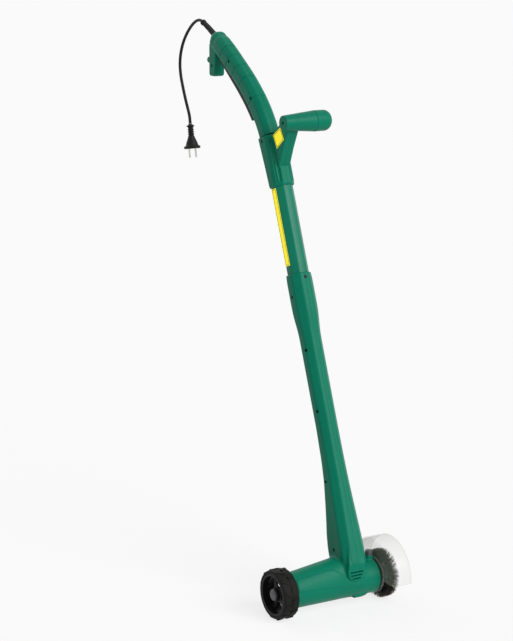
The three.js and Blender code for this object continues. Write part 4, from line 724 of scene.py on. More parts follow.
LOCK_PLACE = 48
BOSS_LOW, BOSS_TOP, BOSS_RADIUS, BOSS_CORNER = 81, 93, 8.5, 0.6
UPRIGHT = Matrix.Translation((LOCK_PLACE, 0, 0)) @ Matrix.Rotation(-math.pi / 2, 4, "Y")
lock_boss = moved(turned([(BOSS_LOW, 0), (BOSS_LOW, BOSS_RADIUS), (BOSS_TOP - BOSS_CORNER - 0.1, BOSS_RADIUS),
                          (BOSS_TOP, BOSS_RADIUS - BOSS_CORNER), (BOSS_TOP, 0)], 32, middle=(0, 0)), UPRIGHT)
UNDER_PAD = (-18, 22)
under_pad = cylinder(0, 30, 6, UNDER_PAD)
CASING_VOXEL = 1.4
casing = melted(gathered(pole_body(POLE_FIRST, 1, 90), barrel_body(BARREL_LEFT, BARREL_RIGHT, 3), tongue,
                         lock_boss, under_pad), CASING_VOXEL)
print("casing skin", len(casing.faces), "faces")

# %% [markdown]
# Two things are worked into the dense skin by moving its points. Where pole and barrel meet, extra
# smoothing makes the wide fillet of the real moulding. On the barrel's front a low panel is raised,
# bounded above by an S-shaped line. On the real tool a name is printed there. Here the panel is left
# bare.

# %% Fillet and raised panel
FILLET_REACH = 7
FILLET_TOP, FILLET_SIDE, FILLET_FRONT, FILLET_PASSES = 130, 45, -33, 36
PANEL_HEIGHT, PANEL_EDGE, PANEL_RIGHT, PANEL_LEFT_MARGIN = 1.3, 2.2, 4, 3
PANEL_TURNS = (100, 200)
SKIN_NEAR = 0.8
DIAGONAL_SHARE = 0.7071
panel_rows = [(-140, 126, 168), (-95, 122, 172), (-62, 119, 176), (-50, 122, 178), (-38, 136, 180),
              (-27, 154, 182), (-14, 166, 184), (PANEL_RIGHT, 174, 186)]


def pole_gap(p):
    """How far a point lies outside the pole's section, with the inside below zero."""
    along = (p.y - POLE_ROOT) * LEAN_SIN + (p.z - AXLE_HEIGHT) * LEAN_COS
    back = (p.y - POLE_ROOT) * LEAN_COS - (p.z - AXLE_HEIGHT) * LEAN_SIN
    half_width, half_depth, chamfer, setback = pole_sizes(along / POLE_LENGTH)
    across, deep = abs(p.x), abs(back - setback)
    corner = (across + deep - half_width - half_depth + chamfer) * DIAGONAL_SHARE
    return max(across - half_width, deep - half_depth, corner)


def barrel_gap(p):
    up = p.z - AXLE_HEIGHT
    return math.hypot(p.y, up) - barrel_radius(p.x, math.atan2(up, p.y))


low_verts = [v for v in casing.verts if v.co.z < FILLET_TOP and v.co.x < BARREL_RIGHT]
fillet = [v for v in low_verts if abs(v.co.x) < FILLET_SIDE and abs(pole_gap(v.co)) < FILLET_REACH
          and abs(barrel_gap(v.co)) < FILLET_REACH and v.co.y > FILLET_FRONT]
smoothed(casing, fillet, FILLET_PASSES)
for vert in low_verts:
    up = vert.co.z - AXLE_HEIGHT
    angle = math.degrees(math.atan2(up, vert.co.y)) % 360
    on_side = BARREL_LEFT + 1 < vert.co.x < PANEL_RIGHT and PANEL_TURNS[0] < angle < PANEL_TURNS[1]
    if not on_side or abs(barrel_gap(vert.co)) > SKIN_NEAR:
        continue
    upper, lower = table(panel_rows, vert.co.x)
    radius = math.hypot(vert.co.y, up)
    inside = min(angle - upper, lower - angle) * math.pi / 180 * radius
    inside = min(inside, PANEL_RIGHT - vert.co.x, vert.co.x - BARREL_LEFT - PANEL_LEFT_MARGIN)
    rise = min(max(inside / PANEL_EDGE, 0), 1)
    rise = rise * rise * (3 - 2 * rise) * PANEL_HEIGHT / radius
    vert.co.y += vert.co.y * rise
    vert.co.z += up * rise
print("fillet points", len(fillet))

# %% [markdown]
# The inside is hollow for the motor and the lead, so the cutter is an inner barrel, an inner pole and the
# tube's seat. The same cutter carries the air slots and the deep round wells in which the screws sit. One
# cut of the dense skin is quicker than many.

# %% Hollow, slots and wells
WALL = 2.5
WELL_RADIUS, SMALL_WELL_RADIUS = 3.5, 3.4
AXLE_BORE_RADIUS, SPINDLE_BORE_RADIUS = 5.4, 10.4
SEAT = -8
TUBE_HALF, TUBE_WALL, TUBE_START, TUBE_TOP, BRACKET_START = 20.5, 1.5, 545.3, 868, 800
TUBE_ROOM = 0.25
BELL_SCREW_SEAT = -22
casing_screws = [(72, 16), (206, 7), (345, -7), (468, -7)]


def straight_octagon(first, last, half, bevel=0):
    """A piece of the leaning octagon tube."""
    return loft([octagon(along_pole(s), (LEAN_SIN, LEAN_COS), half, half, half * TUBE_CHAMFER)
                 for s in (first, last)], bevel)


SLOT_HALF, SLOT_TOP, SLOT_PITCH, SLOT_FRONT, SLOT_DEEP = 1.3, 77, 6.7, -50, 28


def slot_cutter(length, up):
    """An air slot with round ends."""
    outline = []
    for side in (1, -1):
        middle = TONGUE_MIDDLE + side * (length / 2 - SLOT_HALF)
        for k in range(9):
            turn = math.pi * k / 8 - side * math.pi / 2
            outline.append((middle + SLOT_HALF * math.cos(turn), SLOT_FRONT, up + SLOT_HALF * math.sin(turn)))
    return prism(outline, (0, SLOT_DEEP, 0))


hollow = join(barrel_body(BARREL_LEFT + WALL, BARREL_RIGHT - WALL, 2, WALL),
              pole_body(POLE_FIRST, 0.87, 60, WALL))
hollow = join(hollow, straight_octagon(541, 640, TUBE_HALF + TUBE_ROOM))
bores = gathered(cylinder(-145, -130, AXLE_BORE_RADIUS, (0, AXLE_HEIGHT)),
                 cylinder(50, 60, SPINDLE_BORE_RADIUS, (0, AXLE_HEIGHT)),
                 cylinder(-12, 3, SMALL_WELL_RADIUS, UNDER_PAD))
for along, back in casing_screws:
    bores = gathered(bores, cylinder(-60, SEAT, WELL_RADIUS, along_pole(along, back)))
for k, length in enumerate((30, 26, 20)):
    bores = gathered(bores, slot_cutter(length, SLOT_TOP - SLOT_PITCH * k))
COLLAR_SCREW, BELL_SCREW = 612, 577
collar_well = moved(cylinder(0, 12, SMALL_WELL_RADIUS, (0, 0)),
                    Matrix.Translation((0, *along_pole(COLLAR_SCREW, -30)))
                    @ Matrix.Rotation(-POLE_LEAN, 4, "X") @ Matrix.Rotation(math.pi / 2, 4, "Z"))
bell_well = cylinder(-40, BELL_SCREW_SEAT, WELL_RADIUS, along_pole(BELL_SCREW))
bores = gathered(bores, collar_well, bell_well)
casing = cut(casing, join(hollow, bores))
print("hollow casing", len(casing.faces), "faces")
halves(["casing_left", "casing_right"], casing, "green_casing", ["body_shell_left", "body_shell_right"])

# %% [markdown]
# ## Tube
# A drawn octagonal tube, painted like the casing but glossier. It is one hollow length, with its long
# edges rounded as the drawing die leaves them.

# %% Tube
tube_bore = straight_octagon(TUBE_START - 5, TUBE_TOP + 5, TUBE_HALF - TUBE_WALL, 1.4)
tube = cut(straight_octagon(TUBE_START, TUBE_TOP, TUBE_HALF, 2.2), tube_bore)
piece("tube", tube, "green_tube", "frame", ["shaft_tube"])

# %% [markdown]
# ## Bracket with its arm and side grip
# The bracket clamps the tube's top and carries the side grip on an arm. It is a pair of mouldings again.
# Three low ridges run up each side of its front, made as thin rods half sunk in the skin and melted into
# it with the rest.

# %% Bracket
BRACKET_LENGTH, BRACKET_HALF, BRACKET_RIM = 105, 24.2, 3.4
BRACKET_SETBACK, BRACKET_DEEPEN, BRACKET_BEVEL = 5, 3.3, 2.4
ARM_HALF, GRIP_RADIUS = 14, 21
GRIP_MIDDLE = (209.158, 933.240)
GRIP_LEFT, GRIP_JOINT, GRIP_RIGHT = -25, 45, 84
bracket_rows = [(0, -0.3, 0), (0.03, 0, 0), (0.45, 0, 0.35), (1, 0, 1)]


def bracket_body(first, last, count, inset=0):
    sections = []
    for k in range(count + 1):
        share = first + (last - first) * k / count
        rim, swell = table(bracket_rows, share)
        half_width = BRACKET_HALF + rim * BRACKET_RIM
        centre = along_pole(BRACKET_START + share * BRACKET_LENGTH, swell * BRACKET_SETBACK)
        sections.append(octagon(centre, (LEAN_SIN, LEAN_COS), half_width - inset,
                                half_width + swell * BRACKET_DEEPEN - inset,
                                (half_width - inset) * TUBE_CHAMFER))
    return loft(sections, 0 if inset else BRACKET_BEVEL)


def from_grip(deep, up):
    return (GRIP_MIDDLE[0] + deep * GRIP_RADIUS, GRIP_MIDDLE[1] + up * GRIP_RADIUS)


ARM_LOW, ARM_TOP = 838, 904.5
arm_outline = [along_pole(ARM_LOW, -BRACKET_HALF), from_grip(0.9, -2.6), from_grip(0.15, -0.98), GRIP_MIDDLE,
               from_grip(0.98, 0.17), along_pole(ARM_TOP, -BRACKET_HALF), along_pole(ARM_TOP),
               along_pole(ARM_LOW)]
arm = soften(prism([(-ARM_HALF, y, z) for y, z in arm_outline], (2 * ARM_HALF, 0, 0)), 2.5, 3)
GRIP_INSET, GRIP_LAP, NECK_REACH, NECK_SHARE = 0.2, 0.9, 7, 0.72
inner_profile = [(GRIP_LEFT, 0), (GRIP_LEFT, GRIP_RADIUS - GRIP_INSET),
                 (GRIP_JOINT + GRIP_LAP, GRIP_RADIUS - GRIP_INSET), (GRIP_JOINT + GRIP_LAP, 0)]
grip_inner = soften(turned(inner_profile, 56, middle=GRIP_MIDDLE), 0.5, 1)
for vert in grip_inner.verts:
    into = max(0, NECK_REACH - (vert.co.x - GRIP_LEFT)) / NECK_REACH
    if math.hypot(vert.co.y - GRIP_MIDDLE[0], vert.co.z - GRIP_MIDDLE[1]) > 1 and into > 0.9:
        vert.co.y = GRIP_MIDDLE[0] + (vert.co.y - GRIP_MIDDLE[0]) * NECK_SHARE
        vert.co.z = GRIP_MIDDLE[1] + (vert.co.z - GRIP_MIDDLE[1]) * NECK_SHARE
RIDGE_RADIUS, RIDGE_ENDS = 1.5, (808, 898)
ridges = []
for side in (-1, 1):
    for across, back in ((20.5, -13.8), (17, -18), (11, -24.2)):
        ridge_line = [(side * across, *along_pole(s, back)) for s in RIDGE_ENDS]
        ridges.append(loft([[(x + RIDGE_RADIUS * math.cos(a), y + RIDGE_RADIUS * math.sin(a), z)
                             for a in circle(12)] for x, y, z in ridge_line]))
HAND_VOXEL = 1.1
bracket = melted(gathered(bracket_body(0, 0.999, 40), arm, grip_inner, *ridges), HAND_VOXEL)
print("bracket skin", len(bracket.faces), "faces")
bracket_hollow = join(straight_octagon(BRACKET_START - 8, TUBE_TOP + 1, TUBE_HALF + TUBE_ROOM),
                      bracket_body(0.66, 0.94, 10, WALL))
bracket_hollow = join(bracket_hollow, straight_octagon(894, 915, 15))
GRIP_SCREW_SEAT, BRACKET_SCREW_SEAT, BRACKET_SCREW = -19, -21.6, (896.3, 5)
wells = gathered(cylinder(-50, BRACKET_SCREW_SEAT, WELL_RADIUS, along_pole(*BRACKET_SCREW)),
                 cylinder(-40, GRIP_SCREW_SEAT, WELL_RADIUS, GRIP_MIDDLE),
                 cylinder(GRIP_SCREW_SEAT + 6, GRIP_JOINT + 4, 12, GRIP_MIDDLE))
bracket = cut(bracket, gathered(bracket_hollow, wells))
halves(["bracket_left", "bracket_right"], bracket, "green_casing",
       ["bracket_shell_left", "bracket_shell_right"])

# %% [markdown]
# The outer half of the grip is a sleeve, slipped on from the right and held by one long screw. It is
# turned, with a large round on its end, and a fine gap shows where it meets the bracket.

# %% Grip sleeve
END_ROUND = 15
sleeve_profile = [(GRIP_JOINT + 0.3, 0), (GRIP_JOINT + 0.3, GRIP_RADIUS - 0.6),
                  (GRIP_JOINT + 0.8, GRIP_RADIUS)]
for k in range(13):
    turn = math.pi / 2 * k / 12
    sleeve_profile.append((GRIP_RIGHT - END_ROUND + END_ROUND * math.sin(turn),
                           GRIP_RADIUS - END_ROUND + END_ROUND * math.cos(turn)))
sleeve_profile.append((GRIP_RIGHT, 0))
sleeve = turned(sleeve_profile, 64, middle=GRIP_MIDDLE)
piece("grip_cover", sleeve, "green_casing", "frame", ["grip_sleeve"])

# %% [markdown]
# ## Handle with its hook
# The handle is the part in the user's hand, so its octagon is softer and bends along the line made above.
# A hook for the wound-up lead hangs under its end, with a nub behind. After melting, five fine grooves
# are cut round the grip and a long slot is opened underneath for the switch lever.

# %% Handle
HANDLE_HALF, HANDLE_DEEP, HOOK_HALF, NUB_HALF = 18.5, 20, 11.7, 7
LEVER_HALF, LEVER_FIRST, LEVER_LAST, LEVER_SUNK, LEVER_PROUD = 11.5, 0.19, 0.82, 6, 9.5
HANDLE_STEPS, LEVER_STEPS = 70, 40
handle_rows = [(0, 1), (0.8, 1), (0.9, 0.98), (0.935, 0.9), (0.96, 0.95), (0.985, 0.86), (1, 0.6)]


def handle_section(share, inset=0):
    centre, direction = handle_at(share)
    (size,) = table(handle_rows, share)
    half_width = HANDLE_HALF * size - inset
    return octagon(centre, direction, half_width, HANDLE_DEEP * size - inset, half_width * 0.5)


handle_body = loft([handle_section(k / HANDLE_STEPS) for k in range(HANDLE_STEPS + 1)], 3)
hook_outline = [(496.6, 1003), (500.6, 999.1), (517.6, 999.1), (521.6, 1003), (521.6, 1064), (511.6, 1076),
                (494.6, 1048)]
hook = soften(prism([(-HOOK_HALF, y, z) for y, z in hook_outline], (2 * HOOK_HALF, 0, 0)), 2, 3)
nub_outline = [(519.1, 1025), (534.6, 1025), (538.6, 1029), (538.6, 1033.7), (534.6, 1037.7), (519.1, 1037.7)]
nub = soften(prism([(-NUB_HALF, y, z) for y, z in nub_outline], (2 * NUB_HALF, 0, 0)), 1.5, 3)
handle = melted(gathered(handle_body, hook, nub), HAND_VOXEL)
print("handle skin", len(handle.faces), "faces")

# %% Grooves, lever slot and wells
GROOVE_HALF, GROOVE_DEPTH, GROOVE_OVERRUN = 0.7, 0.8, 3
HANDLE_LINE = 286.9


def groove_cutter(share):
    """A thin frame round the handle at a share of its length."""
    step = GROOVE_HALF / HANDLE_LINE
    near, far = share - step, share + step
    return loft([handle_section(near, GROOVE_DEPTH), handle_section(near, -GROOVE_OVERRUN),
                 handle_section(far, -GROOVE_OVERRUN), handle_section(far, GROOVE_DEPTH)], closed=True)


def handle_spot(share, back):
    """The (y, z) of a point beside the handle's line."""
    centre, direction = handle_at(share)
    return centre + Vector((direction.y, -direction.x)) * back


def lever_section(share, half_width, inner, outer):
    near, far = handle_spot(share, inner), handle_spot(share, outer)
    return [(-half_width, *near), (half_width, *near), (half_width, *far), (-half_width, *far)]


def lever_shares(overrun=0):
    """Close shares of the handle's length from the lever's first end to its last."""
    first, last = LEVER_FIRST - overrun, LEVER_LAST + overrun
    return [first + (last - first) * k / LEVER_STEPS for k in range(LEVER_STEPS + 1)]


SLOT_ROOM, SLOT_END_ROOM, SLOT_OVERRUN = 0.35, 0.003, 12
slot_floor = HANDLE_DEEP - LEVER_SUNK - LEVER_PROUD - 0.6
lever_slot = loft([lever_section(share, LEVER_HALF + SLOT_ROOM, slot_floor, HANDLE_DEEP + SLOT_OVERRUN)
                   for share in lever_shares(SLOT_END_ROOM)])
SCREW_BACK = -7
handle_screws = [handle_spot(share, SCREW_BACK) for share in (0.3, 0.68)]
HOOK_SCREW = (509.1, 1021.0)
screw_wells = [cylinder(-40, SEAT, WELL_RADIUS, tuple(place)) for place in handle_screws]
handle_tools = gathered(lever_slot, *screw_wells, cylinder(-40, -4, 3, HOOK_SCREW))
for share in (0.29, 0.47, 0.59, 0.70, 0.80):
    handle = cut(handle, groove_cutter(share))
handle = worked(handle, "BOOLEAN", handle_tools, operation="DIFFERENCE", solver="EXACT", use_self=True)
halves(["handle_left", "handle_right"], handle, "green_casing", ["handle_shell_left", "handle_shell_right"])

# %% [markdown]
# ## Switch lever
# A long black lever that the fingers pull. It is a loft along the handle's line that stands out less and
# less towards its pivot, and its corners are rounded for the fingers. It rides on its own body.

# %% Lever
proud_rows = [(k / 8, value) for k, value in enumerate((1, 1, 0.97, 0.93, 0.85, 0.75, 0.62, 0.46, 0.3))]
lever_sections = []
for k, share in enumerate(lever_shares()):
    (proud,) = table(proud_rows, k / LEVER_STEPS)
    lever_sections.append(lever_section(share, LEVER_HALF, HANDLE_DEEP - LEVER_SUNK,
                                        HANDLE_DEEP + LEVER_PROUD * proud))
lever = soften(loft(lever_sections), 1.8, 3)
piece("lever", lever, "black_plastic", "trigger", ["switch_trigger"])

# %% [markdown]
# ## Strain relief
# A soft PVC sleeve that keeps the lead from kinking where it leaves the handle. Rings cut round it let it
# bend, and a thicker collar ends it. A circle is carried along a bent line, and the rings are places
# where it is thinner.

# %% Strain relief
relief_points = [Vector((506, 1077.5)), Vector((546, 1100)), Vector((566, 1107))]


def relief_at(t):
    a, b, c = relief_points
    return a * (1 - t) ** 2 + b * 2 * t * (1 - t) + c * t * t, ((b - a) * (1 - t) + (c - b) * t).normalized()


RINGS, RING_FIRST, RING_PITCH, RING_DEPTH = 9, 0.2, 0.075, 0.9
relief_stops = [(0, 6.6)]
for k in range(RINGS):
    start = RING_FIRST + RING_PITCH * k
    radius = 6.4 - 1.3 * start
    relief_stops += [(start, radius), (start + 0.012, radius - RING_DEPTH),
                     (start + 0.035, radius - RING_DEPTH), (start + 0.047, radius)]
relief_stops += [(0.89, 5.2), (0.9, 6.3), (0.985, 6.3), (1, 5.4)]
relief_sections = []
for t, radius in relief_stops:
    centre, direction = relief_at(t)
    back = Vector((direction.y, -direction.x))
    relief_sections.append([(radius * math.cos(a), centre.x + back.x * radius * math.sin(a),
                             centre.y + back.y * radius * math.sin(a)) for a in circle(28)])
piece("relief_sleeve", loft(relief_sections), "black_rubber", "frame", ["strain_relief"])

# %% [markdown]
# ## Guide wheel
# The tyre is black rubber with slanted lugs in two rows. Body and lugs are separate bodies on purpose:
# the body is turned, and a lug is a small bevelled block, set round the wheel by a turning matrix and
# joined on.

# %% Tyre
WHEEL_LEFT, WHEEL_WIDTH, WHEEL_RADIUS, LUG_HEIGHT = -176, 33, 50, 1.6
WHEEL_RIGHT, WHEEL_MIDDLE = WHEEL_LEFT + WHEEL_WIDTH, WHEEL_LEFT + WHEEL_WIDTH / 2
TREAD_RADIUS = WHEEL_RADIUS - LUG_HEIGHT
RIM_OUTER = 41.7


def mirrored(profile):
    """A profile of (inward, radius) on both sides of the wheel."""
    return ([(WHEEL_LEFT + inward, radius) for inward, radius in profile]
            + [(WHEEL_RIGHT - inward, radius) for inward, radius in reversed(profile)])


tread_profile = [(0.4, RIM_OUTER + 0.3), (0, RIM_OUTER + 1.2), (0, 45.6), (0.9, 47.2), (2.9, 48.1),
                 (6, TREAD_RADIUS), (WHEEL_WIDTH / 2 - 1.2, TREAD_RADIUS),
                 (WHEEL_WIDTH / 2 - 0.8, TREAD_RADIUS - 0.9)]
tyre = turned(mirrored(tread_profile), 96, closed=True)
LUG_COUNT, LUG_SLANT = 24, math.radians(28)
LUG_LONG, LUG_WIDE, LUG_DEEP = WHEEL_WIDTH / 2 - 1.2, 6, 3
lugs = []
for k, turn in enumerate(circle(LUG_COUNT)):
    side = 1 if k % 2 == 0 else -1
    lug = bmesh.new()
    bmesh.ops.create_cube(lug, size=1, matrix=Matrix.Diagonal((LUG_LONG, LUG_WIDE, LUG_DEEP, 1)))
    lugs.append(moved(soften(lug, 0.5, 2), Matrix.Translation((WHEEL_MIDDLE, 0, AXLE_HEIGHT))
                      @ Matrix.Rotation(turn, 4, "X")
                      @ Matrix.Translation((side * (LUG_LONG / 2 - 0.5), 0, TREAD_RADIUS))
                      @ Matrix.Rotation(side * LUG_SLANT, 4, "Z")))
lug_limit = turned(mirrored([(1, 30), (1, TREAD_RADIUS), (2.6, WHEEL_RADIUS - 0.1)]), 96, closed=True)
lug_ring = worked(gathered(*lugs), "BOOLEAN", lug_limit, operation="INTERSECT", solver="EXACT")
tyre = join(tyre, lug_ring)
piece("tyre", tyre, "tyre_rubber", "wheel", ["wheel_tyre"])

# %% [markdown]
# The rim is black plastic: a deep dish with five openings that leave five spokes, a hub, and a lip that
# holds the tyre. The dish is turned and the openings are cut with one outline, repeated round the hub.

# %% Rim and cap
RIM_WALL, HUB_RADIUS, SPOKES, SPOKE_HALF = 2.5, 13, 5, 4.5
RIM_INNER = RIM_OUTER - RIM_WALL
DISH = WHEEL_LEFT + 9
rim = turned([(WHEEL_LEFT, RIM_INNER - 2.2), (WHEEL_LEFT, RIM_OUTER - 0.6), (WHEEL_LEFT + 0.6, RIM_OUTER),
              (WHEEL_RIGHT - 0.6, RIM_OUTER), (WHEEL_RIGHT, RIM_OUTER - 0.6), (WHEEL_RIGHT, RIM_INNER),
              (DISH + 7, RIM_INNER), (DISH + 5, HUB_RADIUS + 4), (DISH + 7, HUB_RADIUS + 0.4),
              (WHEEL_RIGHT - 0.6, HUB_RADIUS), (WHEEL_RIGHT, HUB_RADIUS - 0.6), (WHEEL_RIGHT, 4.6),
              (WHEEL_LEFT + 4.5, 4.6), (WHEEL_LEFT + 4.5, HUB_RADIUS - 0.8), (WHEEL_LEFT + 5.2, HUB_RADIUS),
              (DISH, HUB_RADIUS + 0.6), (DISH + 1, HUB_RADIUS + 3), (DISH + 2.5, RIM_INNER - 1),
              (WHEEL_LEFT + 2.4, RIM_INNER), (WHEEL_LEFT + 0.8, RIM_INNER - 2.2)], 80, closed=True)


GAP_INNER, GAP_OUTER, GAP_CORNER = HUB_RADIUS + 3.2, RIM_INNER - 3, 2.4


def spoke_gap(turn):
    """The opening between two spokes, with its long corners rounded."""
    outline = []
    for radius, sides in ((GAP_INNER, (-1,)), (GAP_OUTER, (-1, -0.5, 0, 0.5, 1)), (GAP_INNER, (1,))):
        half = math.pi / SPOKES - SPOKE_HALF / radius
        for side in sides:
            angle = turn + side * half
            outline.append((WHEEL_LEFT - 2, radius * math.cos(angle), AXLE_HEIGHT + radius * math.sin(angle)))
    gap = prism(outline, (WHEEL_WIDTH + 4, 0, 0))
    corners = [e for e in gap.edges
               if abs(e.verts[0].co.x - e.verts[1].co.x) > 1 and e.calc_face_angle(0) > 0.6]
    rounded(gap, corners, GAP_CORNER, 4)
    return gap


rim = cut(rim, gathered(*[spoke_gap(turn) for turn in circle(SPOKES, math.pi / SPOKES)]))
piece("rim", rim, "black_plastic", "wheel", ["wheel_rim"])
cap = turned([(WHEEL_LEFT, 0), (WHEEL_LEFT, 7.5), (WHEEL_LEFT + 0.5, 10), (WHEEL_LEFT + 1.3, 11.1),
              (WHEEL_LEFT + 2.2, 11.5), (WHEEL_LEFT + 3, 11.5), (WHEEL_LEFT + 3, 6), (WHEEL_LEFT + 5, 6),
              (WHEEL_LEFT + 5, 0)], 48)
piece("wheel_cap", cap, "grey_plastic", "wheel", ["hub_cap"])

# %% [markdown]
# ## Rotary brush
# A real wheel brush has tufts of crimped wire pressed into a ring of holes. Some two and a half thousand
# thin wires are drawn, each a cone of four sides, in 38 columns of tufts. A seeded random slant spreads
# each tuft, so that the brush looks the same in each run.

# %% Bristles
CORE_RADIUS, BRISTLE_REACH, BRISTLE_ROOT = 17, 49.8, 3
COLUMNS, ROWS, WIRES = 38, 4, 17
ROW_FIRST, ROW_PITCH, ROW_SLANT = 73.2, 2.6, 0.11
TURN_JITTER, BASE_JITTER, SPREAD_JITTER, SWAY_JITTER, SHORTEST = 0.035, 0.9, 0.14, 0.12, 0.9
TIPS_LEFT, TIPS_RIGHT = 65.4, 88.6
WIRE_THICK, WIRE_THIN = 0.42, 0.26
chance = random.Random(7)
bristles = bmesh.new()
for column in range(COLUMNS):
    for row in range(ROWS):
        for _ in range(WIRES):
            turn = 2 * math.pi * (column + 0.5 * (row % 2)) / COLUMNS
            turn += chance.uniform(-TURN_JITTER, TURN_JITTER)
            base = ROW_FIRST + ROW_PITCH * row + chance.uniform(-BASE_JITTER, BASE_JITTER)
            spread = (row - (ROWS - 1) / 2) * ROW_SLANT + chance.uniform(-SPREAD_JITTER, SPREAD_JITTER)
            sway = chance.uniform(-SWAY_JITTER, SWAY_JITTER)
            length = (BRISTLE_REACH - CORE_RADIUS + BRISTLE_ROOT) * chance.uniform(SHORTEST, 1)
            tip_place = base + math.sin(spread) * length
            spread -= max(0, tip_place - TIPS_RIGHT) / length + min(0, tip_place - TIPS_LEFT) / length
            stand = (Matrix.Translation((base, 0, AXLE_HEIGHT)) @ Matrix.Rotation(turn, 4, "X")
                     @ Matrix.Translation((0, 0, CORE_RADIUS - BRISTLE_ROOT)) @ Matrix.Rotation(sway, 4, "X")
                     @ Matrix.Rotation(spread, 4, "Y") @ Matrix.Translation((0, 0, length / 2)))
            bmesh.ops.create_cone(bristles, cap_ends=True, segments=4, radius1=WIRE_THICK, radius2=WIRE_THIN,
                                  depth=length, matrix=stand)
piece("bristles", bristles, "bristle_nylon", "brush", ["brush_bristles"], crisp=60)

# %% [markdown]
# The brush's core is a black plastic spool whose two flanges hold the wire. A nut with a washer face
# clamps it on the spindle.

# %% Core and nut
SPOOL_LEFT, SPOOL_RIGHT, SPOOL_BORE_RADIUS = 70, 86.5, 5.4
NUT_LEFT, NUT_HEIGHT, NUT_RADIUS, NUT_BORE_RADIUS = 86.9, 4.8, 8.3, 5.2
core = turned([(SPOOL_LEFT, SPOOL_BORE_RADIUS), (SPOOL_LEFT, 17), (70.8, 18), (72, 18), (72.6, 14.5),
               (81.4, 14.5), (82, 18), (83.2, 18), (84, 17), (84, 11), (SPOOL_RIGHT, 10.4),
               (SPOOL_RIGHT, SPOOL_BORE_RADIUS)], 56, closed=True)
piece("brush_spool", core, "black_plastic", "brush", ["brush_core"])
nut_outline = [(NUT_LEFT, NUT_RADIUS * math.cos(a), AXLE_HEIGHT + NUT_RADIUS * math.sin(a))
               for a in circle(6)]
nut = soften(prism(nut_outline, (NUT_HEIGHT, 0, 0)), 0.5, 2)
nut = cut(nut, cylinder(80, 100, NUT_BORE_RADIUS, (0, AXLE_HEIGHT)))
piece("nut", nut, "bright_steel", "brush", ["brush_nut"])

# %% [markdown]
# ## Guard
# The guard is a clear hood with a side wall and a collar that clips round the casing's end. The hood is
# an L-shaped profile spun through 208 degrees, so wall and side wall are one skin, with a stiffening bead
# along the free edge.

# %% Guard
HOOD_RADIUS, HOOD_START, HOOD_END, HOOD_HOLE = 75, 57, 100, 21.9
HOOD_INNER, BEAD_INNER, BEAD_OUTER, SIDE_INNER = 72.6, 71.8, 74.9, HOOD_START + 2.4
HOOD_FRONT, HOOD_REAR = math.radians(184), math.radians(-24)
hood = bmesh.new()
hood_profile = [(HOOD_START, HOOD_HOLE), (HOOD_START, HOOD_INNER), (HOOD_START + 0.7, 74.3),
                (SIDE_INNER, HOOD_RADIUS), (HOOD_END - 4, HOOD_RADIUS), (HOOD_END - 3.2, BEAD_OUTER),
                (HOOD_END, BEAD_OUTER), (HOOD_END, BEAD_INNER), (HOOD_END - 3, BEAD_INNER),
                (HOOD_END - 4, HOOD_INNER), (SIDE_INNER + 1, HOOD_INNER), (SIDE_INNER, HOOD_INNER - 1),
                (SIDE_INNER, HOOD_HOLE)]
verts = [hood.verts.new((place, radius, 0)) for place, radius in hood_profile]
face = hood.faces.new(verts)
bmesh.ops.spin(hood, geom=[face], cent=(0, 0, 0), axis=(1, 0, 0), angle=HOOD_FRONT - HOOD_REAR, steps=72)
moved(hood, Matrix.Translation((0, 0, AXLE_HEIGHT)) @ Matrix.Rotation(HOOD_REAR, 4, "X"))
bmesh.ops.recalc_face_normals(hood, faces=hood.faces)
COLLAR_RADIUS, COLLAR_INNER, COLLAR_HOLE, COLLAR_END, COLLAR_WALL = 36, 33.6, 22, 62, 2.5
collar = turned([(HOOD_START, COLLAR_HOLE), (HOOD_START, 35.4), (HOOD_START + 0.6, COLLAR_RADIUS),
                 (COLLAR_END, COLLAR_RADIUS), (COLLAR_END, COLLAR_INNER),
                 (HOOD_START + COLLAR_WALL, COLLAR_INNER), (HOOD_START + COLLAR_WALL, COLLAR_HOLE)], 72,
                closed=True)
guard = join(hood, collar)
piece("guard", guard, "clear_guard", "frame", ["brush_guard"])

# %% [markdown]
# ## Spindle lock
# A grey button on the head stops the spindle while the nut is undone. Its rim is knurled with small
# grooves, cut in a turned mushroom.

# %% Lock button
STEM_LOW, STEM_RADIUS, CAP_LOW, CAP_TOP, CAP_RADIUS = 76.5, 2.2, 90.5, 102.5, 7
FLUTES, FLUTE_RADIUS, FLUTE_PLACE = 12, 0.7, 7.1
button = turned([(STEM_LOW, 0), (STEM_LOW, STEM_RADIUS), (CAP_LOW, STEM_RADIUS), (CAP_LOW, CAP_RADIUS - 0.6),
                 (CAP_LOW + 0.6, CAP_RADIUS), (CAP_TOP - 1.5, CAP_RADIUS), (CAP_TOP - 0.5, CAP_RADIUS - 0.6),
                 (CAP_TOP, 5), (CAP_TOP, 0)], 40, middle=(0, 0))
flutes = [cylinder(93, 105, FLUTE_RADIUS, (FLUTE_PLACE * math.cos(a), FLUTE_PLACE * math.sin(a)), 10)
          for a in circle(FLUTES)]
button = moved(cut(button, gathered(*flutes)), UPRIGHT)
piece("lock_knob", button, "grey_plastic", "lock_button", ["spindle_lock_button"])

# %% [markdown]
# ## Screws
# Each screw has a low round head with a cross recess. Its place, length and head come from the packed
# node's box, so one function serves them all. Their cross is cut with two crossed bars.

# %% Screws
HEAD_HEIGHT, SHANK_RADIUS, RECESS_WIDE, RECESS_DEEP = 2.6, 1.5, 0.8, 2.4


